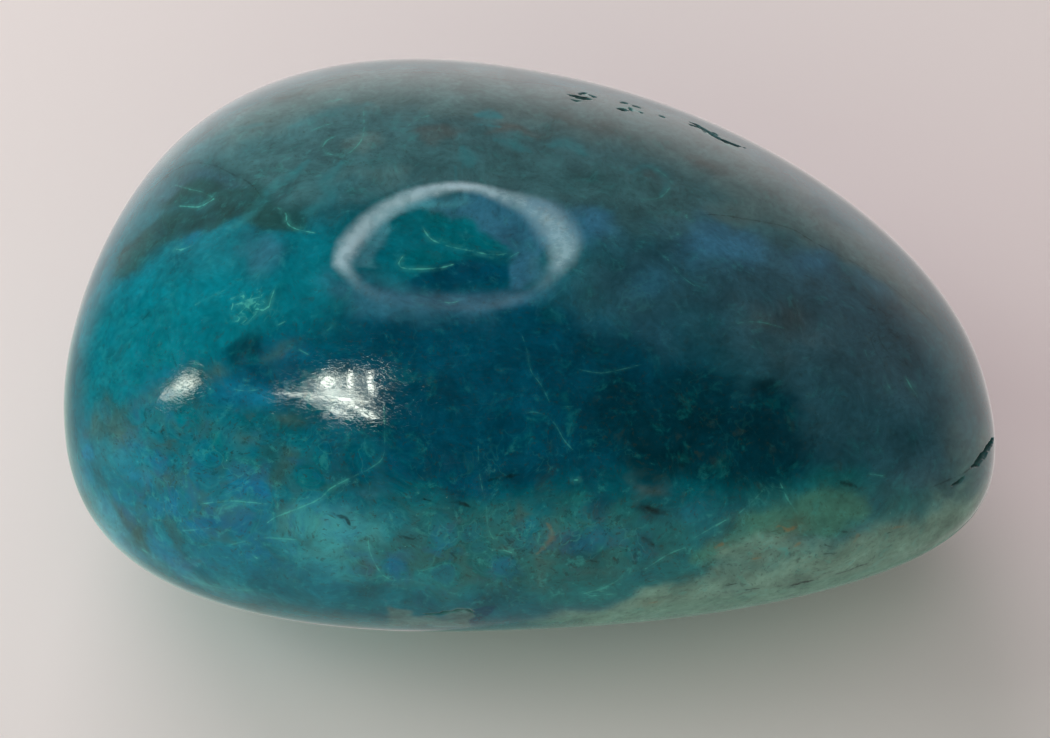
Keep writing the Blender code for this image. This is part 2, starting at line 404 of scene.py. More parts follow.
# Small pits around the upper ones: points in the photograph's pixels, width and depth in mm
smallPits = [([(580, 94), (585, 93)], 0.27, 0.14), ([(590, 95), (595, 97)], 0.27, 0.14),
             ([(572, 100), (576, 101)], 0.24, 0.10), ([(580, 101), (584, 102)], 0.24, 0.10),
             ([(622, 103), (625, 103)], 0.24, 0.12), ([(629, 107), (632, 111)], 0.27, 0.14),
             ([(634, 106), (640, 108)], 0.24, 0.10), ([(637, 111), (642, 113)], 0.24, 0.12),
             ([(661, 116), (663, 117)], 0.22, 0.10), ([(691, 125), (700, 128), (705, 132)], 0.30, 0.16),
             ([(714, 133), (717, 135)], 0.22, 0.10)]
cuts = [[(onStone(*pixel)[0], width * mm, depth * mm) for pixel in pixels]
        for pixels, width, depth in smallPits]
for fissure in fissures.values():
    count = len(fissure["places"])
    share = [math.sin(math.pi * (k + 0.5) / count) for k in range(count)]
    cuts.append([(nearPlace(place), fissure["width"] * s * mm, fissure["depth"] * s * mm)
                 for place, s in zip(fissure["places"], share)])
layRoutes("cut", cuts, cut=True)
print("fissures and pits cut:", len(cuts))

# Veins and marks: points in the photograph's pixels, width in mm, and tone from 0, faint, to 1
veins = {
    # thin pale seams of quartz and turquoise
    "pale": [
        ([(276, 286), (271, 299), (268, 309), (260, 311), (246, 324)], 0.11, 0.95),
        ([(262, 286), (258, 296), (252, 306)], 0.08, 0.6),
        ([(236, 296), (232, 308), (229, 318)], 0.08, 0.6),
        ([(250, 300), (243, 308), (240, 318), (236, 323)], 0.10, 0.7),
        ([(231, 301), (243, 297), (256, 303)], 0.06, 0.5),
        ([(363, 107), (364, 118), (363, 136), (356, 147), (345, 155), (333, 155), (323, 151), (323, 146),
          (329, 139), (345, 133)], 0.10, 0.45),
        ([(312, 106), (325, 103), (342, 99)], 0.14, 0.7),
        ([(309, 132), (320, 127), (333, 123)], 0.08, 0.6),
        ([(278, 208), (286, 214), (287, 223), (296, 229), (315, 233)], 0.11, 0.8),
        ([(179, 206), (198, 207), (207, 203), (214, 199)], 0.11, 0.7),
        ([(175, 185), (189, 189), (202, 192), (214, 198)], 0.08, 0.4),
        ([(422, 226), (431, 239), (448, 246), (472, 251), (496, 255), (517, 251)], 0.13, 0.95),
        ([(404, 255), (399, 262), (400, 267), (411, 269), (438, 268), (455, 264)], 0.11, 0.8),
        ([(474, 240), (479, 250)], 0.08, 0.6),
        ([(505, 262), (512, 256), (519, 252)], 0.08, 0.5),
        ([(438, 301), (450, 303), (462, 300)], 0.11, 0.7),
        ([(404, 129), (418, 119), (432, 115)], 0.08, 0.5),
        ([(687, 214), (686, 218), (690, 221), (694, 219), (694, 215)], 0.08, 1.0),
        ([(671, 237), (676, 235), (680, 233)], 0.18, 0.6),
        ([(656, 249), (671, 263), (680, 275), (695, 286)], 0.06, 0.35),
        ([(656, 169), (668, 178), (671, 186), (659, 198), (642, 199)], 0.11, 0.3),
        ([(723, 336), (736, 324), (759, 322), (787, 329)], 0.08, 0.35),
        ([(886, 378), (888, 386), (892, 390)], 0.21, 0.6),
        ([(906, 378), (911, 387), (917, 395)], 0.21, 0.6),
        ([(865, 350), (868, 360)], 0.24, 0.35),
        ([(522, 335), (527, 351), (531, 371), (541, 385), (550, 403)], 0.06, 0.28),
        ([(520, 417), (531, 412), (545, 415), (555, 424), (564, 440), (575, 452)], 0.07, 0.38),
        ([(577, 369), (600, 373), (619, 370), (642, 364)], 0.07, 0.25),
        ([(240, 292), (246, 302), (241, 312)], 0.11, 0.8),
        ([(262, 300), (256, 312), (250, 320)], 0.10, 0.8),
        ([(234, 304), (244, 306), (252, 312)], 0.11, 0.8),
        ([(559, 407), (577, 406)], 0.06, 0.35),
        ([(384, 405), (384, 453), (372, 467), (354, 476)], 0.09, 0.4),
        ([(354, 476), (331, 488), (319, 499), (299, 508), (276, 517), (267, 523)], 0.12, 0.65),
        ([(200, 504), (230, 501), (267, 504)], 0.14, 0.6),
        ([(368, 536), (370, 552), (381, 573), (395, 581), (409, 577)], 0.10, 0.5),
        ([(478, 445), (480, 477), (486, 505), (488, 527), (495, 541), (509, 552)], 0.07, 0.32),
        ([(582, 594), (604, 588), (618, 580)], 0.30, 0.4),
        ([(645, 569), (667, 555), (684, 548)], 0.20, 0.5),
        ([(694, 538), (713, 527), (728, 519)], 0.20, 0.6),
        ([(738, 514), (752, 502), (764, 489)], 0.12, 0.4),
        ([(778, 478), (787, 498), (798, 514)], 0.12, 0.5),
        ([(768, 484), (776, 490)], 0.10, 0.5),
        ([(591, 596), (602, 595), (614, 594)], 0.24, 0.6),
        ([(870, 474), (884, 476)], 0.16, 0.5),
        ([(118, 490), (122, 505)], 0.16, 0.6),
        ([(140, 548), (148, 553)], 0.24, 0.5),
        ([(253, 556), (257, 558)], 0.24, 0.7),
        ([(410, 580), (430, 568), (449, 570)], 0.08, 0.5),
        ([(326, 332), (332, 326)], 0.40, 0.35),
        ([(276, 326), (286, 321)], 0.12, 0.5),
        ([(228, 300), (238, 296), (250, 300)], 0.08, 0.5),
        ([(232, 322), (240, 312), (248, 308)], 0.10, 0.6),
        ([(252, 294), (251, 302), (250, 309)], 0.10, 0.8),
        ([(226, 312), (234, 318)], 0.10, 0.5),
        ([(195, 305), (208, 298), (225, 290)], 0.08, 0.35),
        ([(300, 350), (309, 355)], 0.12, 0.5),
        ([(233, 389), (246, 391), (262, 389)], 0.10, 0.4),
        ([(244, 380), (248, 381)], 0.14, 0.6),
        ([(176, 249), (181, 250)], 0.35, 0.9),
        ([(181, 250), (192, 246)], 0.15, 0.4),
        ([(574, 480), (578, 480)], 0.30, 0.8),
        ([(500, 550), (508, 551), (515, 555)], 0.16, 0.8),
        ([(416, 570), (420, 571)], 0.20, 0.7),
        ([(423, 536), (427, 537)], 0.18, 0.6),
        ([(446, 508), (450, 508)], 0.20, 0.6),
        ([(271, 588), (275, 589)], 0.22, 0.7),
        ([(150, 520), (175, 530), (210, 528)], 0.20, 0.35),
        ([(230, 545), (262, 538), (300, 540)], 0.25, 0.4),
        ([(180, 575), (220, 588), (262, 590)], 0.20, 0.35),
        ([(574, 97), (581, 99)], 0.45, 0.9),
        ([(586, 95), (592, 98)], 0.45, 0.9),
        ([(622, 107), (630, 108)], 0.45, 0.9),
        ([(633, 110), (640, 112)], 0.45, 0.9),
        ([(703, 131), (712, 135)], 0.45, 0.9),
        ([(722, 143), (734, 147)], 0.45, 0.9),
    ],
    # wide, soft ghosts of teal in the smoky part
    "soft": [
        ([(308, 161), (292, 175), (276, 185), (264, 198), (253, 211), (241, 221), (228, 228)], 1.0, 0.6),
        ([(342, 161), (331, 175), (324, 184), (331, 195), (317, 207), (301, 214)], 1.0, 0.45),
        ([(463, 148), (468, 158), (470, 166)], 1.6, 0.5),
        ([(456, 166), (455, 205), (453, 217)], 0.4, 0.3),
        ([(496, 140), (515, 146), (530, 152)], 1.2, 0.5),
        ([(550, 146), (568, 143), (586, 155)], 1.4, 0.5),
        ([(476, 115), (490, 114), (500, 117)], 1.4, 0.8),
        ([(478, 124), (500, 127)], 0.6, 0.6),
        ([(290, 128), (330, 112), (372, 104)], 1.6, 0.35),
        ([(190, 150), (230, 132), (262, 124)], 1.2, 0.35),
        ([(630, 172), (650, 166), (668, 180), (660, 196)], 0.8, 0.35),
    ],
    # dark seams, dashes and small pits
    "dark": [
        ([(140, 200), (156, 185), (172, 172), (189, 164), (202, 163), (218, 167), (234, 175), (248, 182),
          (257, 191), (262, 198)], 0.13, 0.5),
        ([(697, 215), (720, 215), (746, 219), (769, 223), (792, 229), (814, 242), (837, 254), (860, 266),
          (883, 281), (906, 299), (925, 315), (943, 334)], 0.16, 0.55),
        ([(906, 281), (925, 299), (943, 322), (961, 340)], 0.10, 0.30),
        ([(228, 120), (260, 103), (300, 87), (340, 79), (380, 74), (424, 72), (467, 75), (506, 80), (550, 85),
          (593, 91)], 0.16, 0.4),
        ([(391, 499), (398, 501)], 0.44, 0.88),
        ([(422, 499), (431, 501)], 0.50, 1.00),
        ([(448, 503), (456, 502), (463, 504), (472, 508)], 0.38, 1.00),
        ([(487, 481), (498, 478)], 0.62, 0.88),
        ([(506, 477), (518, 475)], 0.62, 0.94),
        ([(402, 536), (412, 539)], 0.50, 0.75),
        ([(418, 534), (430, 538)], 0.44, 0.75),
        ([(450, 552), (456, 558)], 0.62, 0.75),
        ([(472, 563), (477, 565)], 0.38, 0.62),
        ([(588, 560), (599, 562)], 0.62, 0.75),
        ([(646, 507), (655, 511), (665, 514)], 0.75, 0.88),
        ([(642, 538), (648, 541), (655, 547)], 0.62, 0.94),
        ([(677, 464), (685, 466)], 0.50, 0.62),
        ([(551, 582), (561, 583)], 0.38, 0.50),
        ([(725, 586), (738, 583)], 0.44, 0.94),
        ([(745, 590), (760, 588)], 0.50, 0.75),
        ([(790, 586), (800, 583), (815, 580)], 0.44, 1.00),
        ([(884, 534), (892, 532)], 0.44, 1.00),
        ([(825, 545), (831, 547)], 0.44, 0.75),
        ([(822, 554), (832, 553)], 0.31, 0.62),
        ([(840, 482), (848, 484), (857, 487)], 0.50, 1.00),
        ([(836, 574), (850, 570)], 0.31, 0.62),
        ([(765, 533), (780, 530)], 0.31, 0.62),
        ([(838, 531), (846, 532)], 0.38, 0.62),
        ([(570, 93), (578, 96)], 0.30, 0.80),
        ([(582, 98), (590, 97), (596, 100)], 0.30, 0.80),
        ([(572, 100), (577, 101)], 0.30, 0.70),
        ([(620, 103), (626, 102)], 0.25, 0.70),
        ([(628, 110), (636, 113)], 0.30, 0.80),
        ([(656, 115), (664, 117)], 0.20, 0.60),
        ([(352, 76), (358, 75)], 0.30, 0.70),
        ([(428, 66), (440, 67)], 0.20, 0.60),
        ([(861, 303), (870, 309), (880, 312)], 0.20, 0.50),
        ([(884, 318), (890, 330), (898, 338)], 0.30, 0.40),
        ([(875, 322), (880, 340), (888, 352), (898, 362)], 0.20, 0.45),
        ([(893, 345), (903, 358), (912, 372)], 0.20, 0.40),
        ([(868, 330), (873, 345), (880, 360)], 0.16, 0.35),
        ([(905, 330), (912, 345), (920, 360)], 0.16, 0.30),
        ([(335, 515), (345, 517), (350, 525)], 0.35, 0.88),
        ([(535, 207), (541, 212), (546, 219)], 0.18, 0.80),
        ([(548, 214), (556, 220), (560, 227)], 0.18, 0.80),
        ([(552, 228), (562, 229), (569, 230)], 0.18, 0.80),
        ([(541, 222), (550, 225)], 0.16, 0.70),
        ([(520, 199), (528, 202)], 0.16, 0.70),
        ([(440, 191), (450, 185), (461, 187)], 0.14, 0.70),
        ([(455, 192), (466, 185), (476, 188)], 0.14, 0.60),
        ([(332, 258), (338, 262)], 0.20, 0.60),
        ([(556, 278), (548, 287)], 0.10, 0.50),
        ([(157, 230), (160, 233)], 0.40, 0.50),
        ([(129, 329), (140, 322), (152, 310)], 0.10, 0.40),
        ([(168, 335), (172, 352), (177, 368)], 0.10, 0.40),
        ([(868, 318), (885, 335), (905, 352)], 0.14, 0.35),
        ([(872, 305), (892, 325), (915, 345)], 0.12, 0.30),
        ([(880, 360), (900, 350), (918, 340)], 0.12, 0.30),
        ([(866, 335), (884, 322), (900, 308)], 0.10, 0.30),
        ([(856, 567), (866, 564)], 0.38, 0.75),
        ([(973, 466), (962, 474), (946, 481), (930, 488)], 0.12, 0.70),
        ([(992, 436), (984, 450), (974, 464)], 0.16, 0.60),
        ([(536, 202), (548, 210), (556, 221)], 0.10, 0.60),
        ([(563, 212), (571, 226), (574, 238)], 0.10, 0.50),
        ([(546, 228), (558, 236)], 0.08, 0.50),
    ],
    # iron stains
    "rust": [
        ([(787, 531), (795, 528)], 1.17, 0.99),
        ([(776, 527), (780, 526)], 0.65, 0.66),
        ([(716, 547), (722, 544)], 0.91, 0.66),
        ([(754, 559), (760, 558)], 0.72, 0.61),
        ([(795, 547), (799, 543)], 0.78, 0.55),
        ([(648, 603), (656, 602)], 0.78, 0.66),
        ([(855, 541), (858, 535)], 0.91, 0.39),
        ([(893, 528), (904, 526)], 0.52, 0.44),
        ([(547, 523), (553, 534), (545, 546), (537, 554)], 0.52, 0.50),
        ([(282, 356), (291, 347)], 1.04, 0.10),
    ],
}

# and those out of the photograph's sight: points as a share along and an angle round, like the fissures
hiddenVeins = {
    "pale": [
        ([(-0.55, -70), (-0.42, -78), (-0.33, -76), (-0.20, -84), (-0.08, -82)], 0.12, 0.8),
        ([(-0.33, -76), (-0.31, -88), (-0.22, -98), (-0.21, -105)], 0.08, 0.6),
        ([(0.25, -110), (0.36, -104), (0.45, -108), (0.55, -102)], 0.12, 0.8),
        ([(0.10, -128), (0.20, -135), (0.28, -133)], 0.10, 0.7),
        ([(-0.70, -100), (-0.62, -108), (-0.60, -118)], 0.10, 0.7),
        ([(-0.45, -130), (-0.38, -140), (-0.30, -143), (-0.24, -152)], 0.10, 0.7),
        ([(-0.93, -40), (-0.90, -60), (-0.86, -75)], 0.10, 0.5),
        ([(0.00, -62), (0.08, -68), (0.18, -66)], 0.10, 0.6),
        ([(-0.30, 150), (-0.18, 157), (-0.10, 155), (0.05, 162), (0.16, 160)], 0.12, 0.8),
        ([(0.30, 170), (0.42, 175), (0.50, 182)], 0.12, 0.7),
        ([(-0.55, 155), (-0.48, 165), (-0.50, 175)], 0.10, 0.7),
        ([(0.46, 128), (0.55, 133), (0.60, 140)], 0.20, 0.6),
    ],
    "soft": [
        ([(-0.30, -50), (-0.20, -70), (-0.15, -90)], 1.2, 0.5),
        ([(0.20, -80), (0.30, -92), (0.45, -98)], 1.4, 0.5),
        ([(0.50, -70), (0.60, -85)], 1.0, 0.5),
        ([(-0.60, -85), (-0.50, -95), (-0.35, -100)], 1.2, 0.5),
    ],
    "dark": [
        ([(-0.60, -60), (-0.40, -62), (-0.10, -58), (0.20, -62), (0.45, -60)], 0.14, 0.5),
        ([(-0.20, -118), (-0.15, -120)], 0.4, 0.8),
        ([(0.05, -105), (0.10, -104)], 0.4, 0.8),
        ([(0.50, -130), (0.55, -132)], 0.4, 0.8),
        ([(-0.50, -112), (-0.46, -113)], 0.4, 0.8),
        ([(0.00, 140), (0.05, 141)], 0.5, 0.9),
        ([(0.30, 150), (0.35, 152)], 0.4, 0.8),
        ([(-0.40, 165), (-0.35, 166)], 0.4, 0.9),
        ([(0.56, 125), (0.60, 126)], 0.4, 0.8),
    ],
    "rust": [
        ([(0.15, -100), (0.19, -101)], 0.9, 0.6),
        ([(-0.38, -112), (-0.35, -113)], 0.9, 0.5),
        ([(0.50, 130), (0.53, 131)], 0.9, 0.6),
        ([(-0.20, 150), (-0.17, 151)], 0.8, 0.5),
    ],
}


seamTip = 0.4       # share of a seam's width that is left at both its ends


def seamLines(lines, find):
    laid = []
    for places, width, tone in lines:
        thin = [seamTip if k in (0, len(places) - 1) else 1.0 for k in range(len(places))]
        laid.append([(find(place), width * t * mm, tone) for place, t in zip(places, thin)])
    return laid


for kind, lines in veins.items():
    seams = seamLines(lines, lambda pixel: onStone(*pixel)[0]) + seamLines(hiddenVeins[kind], nearPlace)
    layRoutes(kind, seams)
    print(kind, "seams laid:", len(seams))

# Satin worn by the thumb round the hollow's rim, its pale tone a painted sheen: pixel, width in mm and tone
wornRimSheen = [(341, 262, 1.2, 0.9), (347, 249, 1.5, 1.0), (358, 234, 1.5, 0.95), (373, 219, 1.4, 0.9),
           (390, 207, 1.3, 0.9), (410, 197, 1.2, 0.9), (432, 190, 1.1, 0.9), (458, 186, 0.9, 0.9),
           (482, 189, 0.9, 0.9), (500, 195, 1.1, 0.65), (522, 202, 1.5, 0.5), (541, 212, 2.2, 0.55),
           (555, 226, 2.5, 0.55), (563, 243, 2.4, 0.65), (562, 258, 1.8, 0.60), (553, 273, 1.4, 0.22),
           (538, 288, 1.1, 0.05), (515, 299, 1.0, 0.05), (480, 308, 1.0, 0.03), (430, 308, 1.0, 0.03),
           (390, 300, 1.0, 0.06), (366, 289, 1.0, 0.12), (351, 276, 1.0, 0.3), (341, 262, 1.2, 0.9)]
layRoutes("worn", [[(onStone(x, y)[0], width * mm, tone) for x, y, width, tone in wornRimSheen]])


# Minerals, painted one over another in this order. A seen patch is (x, y, half width, half height) in the
# photograph's pixels, its turn in degrees anticlockwise, and its strength; at its edge it is half as strong.
minerals = {
    "oceanTeal": "#045c69", "deepBlue": "#00485f", "nightTeal": "#023543",
    "smokeTeal": "#39676c", "slate": "#2c5866", "bayBlue": "#0c697b",
    "brightTeal": "#056d7c", "smoke": "#4d7071", "olive": "#1c4a4b",
    "seaGreen": "#17686c", "emerald": "#3a7467", "paleGreen": "#6e9184",
    "turquoise": "#3b9299", "dust": "#3b5a57", "umber": "#4b5654",
    # the haze blue and the rim blue on this line also stand in for sheen, where the gloss mirrors light
    "hazeBlue": "#336f8a", "mauve": "#306a80", "rimBlue": "#478f9f",
    "skyBlue": "#136c8c", "leafGreen": "#006a76", "murk": "#0c292f",
}
seenPatches = {
    "deepBlue": [(480, 345, 130, 50, -3, 1.0), (430, 410, 120, 62, 0, 1.0), (340, 330, 70, 30, 0, 0.7),
                 (600, 380, 110, 60, 0, 0.9), (270, 375, 75, 28, 0, 0.8), (520, 440, 120, 40, 0, 0.8)],
    "nightTeal": [(710, 425, 100, 45, -8, 1.0), (790, 440, 90, 32, 12, 0.95), (630, 450, 70, 26, 0, 0.35),
                  (850, 430, 60, 34, 0, 0.5), (610, 340, 50, 18, -10, 0.4)],
    "smokeTeal": [(330, 140, 170, 55, 14, 1.0), (520, 165, 170, 42, -8, 1.0), (660, 200, 110, 35, -18, 0.9),
                  (760, 200, 80, 26, -38, 0.9), (590, 270, 40, 40, 0, 0.3)],
    "slate": [(750, 300, 110, 48, -25, 1.0), (840, 330, 80, 60, -42, 1.0), (890, 400, 70, 60, -60, 1.0),
              (640, 290, 60, 35, -15, 0.7), (940, 460, 40, 50, 0, 0.9)],
    "bayBlue": [(200, 510, 130, 60, -15, 1.0), (300, 560, 140, 40, -5, 0.95), (110, 470, 50, 60, 0, 0.8),
                (420, 560, 60, 30, 0, 0.6), (170, 440, 80, 30, 0, 0.5)],
    "brightTeal": [(190, 300, 95, 45, 8, 1.0), (120, 330, 55, 62, 0, 1.0), (300, 262, 60, 28, 0, 0.8),
                   (395, 262, 22, 26, 0, 0.8), (250, 262, 60, 30, 0, 0.6), (330, 300, 30, 34, 0, 0.35)],
    "smoke": [(500, 112, 60, 12, -4, 0.8), (470, 92, 220, 18, -3, 0.9), (300, 108, 110, 17, 24, 0.6),
              (630, 125, 110, 22, -18, 0.9), (730, 168, 80, 20, -28, 0.8), (400, 75, 120, 10, 0, 0.5)],
    "olive": [(640, 190, 34, 14, -15, 0.4), (585, 178, 34, 14, -8, 0.35), (905, 498, 44, 11, 24, 0.5)],
    "seaGreen": [(490, 565, 110, 32, 0, 0.75), (900, 505, 55, 14, 24, 0.5), (610, 535, 110, 30, 5, 0.5),
                 (630, 590, 90, 16, 2, 0.9), (830, 490, 70, 14, 8, 0.6), (470, 515, 60, 16, 0, 0.5),
                 (700, 590, 24, 12, 0, 0.5)],
    "paleGreen": [(600, 618, 60, 7, 3, 0.7), (930, 510, 34, 16, 35, 0.2)],
    "turquoise": [(215, 262, 30, 14, 0, 0.2), (440, 585, 50, 10, 0, 0.2), (240, 590, 80, 8, -12, 0.3),
                  (257, 262, 13, 18, 0, 0.35), (152, 512, 12, 14, 0, 0.15), (115, 455, 20, 20, 0, 0.3),
                  (340, 565, 40, 18, 0, 0.35)],
    "dust": [(120, 436, 22, 16, 0, 0.5), (185, 424, 26, 12, 0, 0.4), (160, 480, 16, 8, 20, 0.5),
             (240, 440, 30, 12, 0, 0.3), (560, 500, 30, 10, 0, 0.25), (600, 570, 26, 10, 0, 0.4),
             (320, 372, 40, 8, 0, 0.4), (290, 415, 18, 10, 0, 0.5), (900, 545, 40, 10, 25, 0.4)],
    "umber": [(300, 92, 55, 7, 17, 0.45), (590, 122, 50, 9, -14, 0.45), (720, 168, 45, 8, -25, 0.4),
              (648, 174, 8, 6, 0, 0.5), (650, 490, 18, 8, 0, 0.35), (780, 356, 30, 12, -20, 0.25),
              (785, 322, 66, 22, -20, 0.35)],
    # painted sheen: soft mirrored haze in the hollow and on the right side, in blue
    "hazeBlue": [(720, 241, 38, 20, -10, 0.9), (818, 264, 24, 18, -30, 0.5), (527, 228, 42, 22, -12, 0.95),
                 (650, 330, 40, 14, -10, 0.3), (470, 205, 60, 10, 0, 0.5), (590, 222, 18, 14, 0, 0.7)],
    "mauve": [(652, 280, 26, 18, 20, 0.6), (420, 304, 60, 11, 0, 0.75), (355, 290, 30, 12, -25, 0.6),
              (500, 306, 40, 9, 12, 0.7), (880, 285, 30, 12, -42, 0.25), (257, 253, 18, 22, 0, 0.5)],
    # painted sheen: a paler blue along the left rim
    "rimBlue": [(108, 510, 12, 36, 32, 0.3), (84, 450, 7, 34, 8, 0.15)],
    "skyBlue": [(300, 352, 26, 12, 0, 0.5), (240, 392, 40, 14, 0, 0.5), (150, 380, 30, 9, 15, 0.3),
                (650, 550, 26, 8, 0, 0.3), (680, 515, 24, 12, 0, 0.3), (190, 240, 10, 6, 20, 0.4)],
    "leafGreen": [(185, 419, 9, 6, 0, 0.6), (246, 309, 13, 14, 0, 0.75), (295, 222, 12, 7, -30, 0.5),
                  (370, 450, 14, 16, 40, 0.4), (215, 440, 9, 8, 0, 0.6), (160, 350, 14, 12, 0, 0.3)],
    "murk": [(763, 385, 16, 9, 0, 0.5), (777, 358, 8, 7, 0, 0.3), (893, 340, 18, 34, 28, 0.35),
             (655, 510, 12, 6, -20, 0.5), (582, 97, 14, 4, 0, 0.5), (690, 455, 16, 8, 0, 0.4)],
}
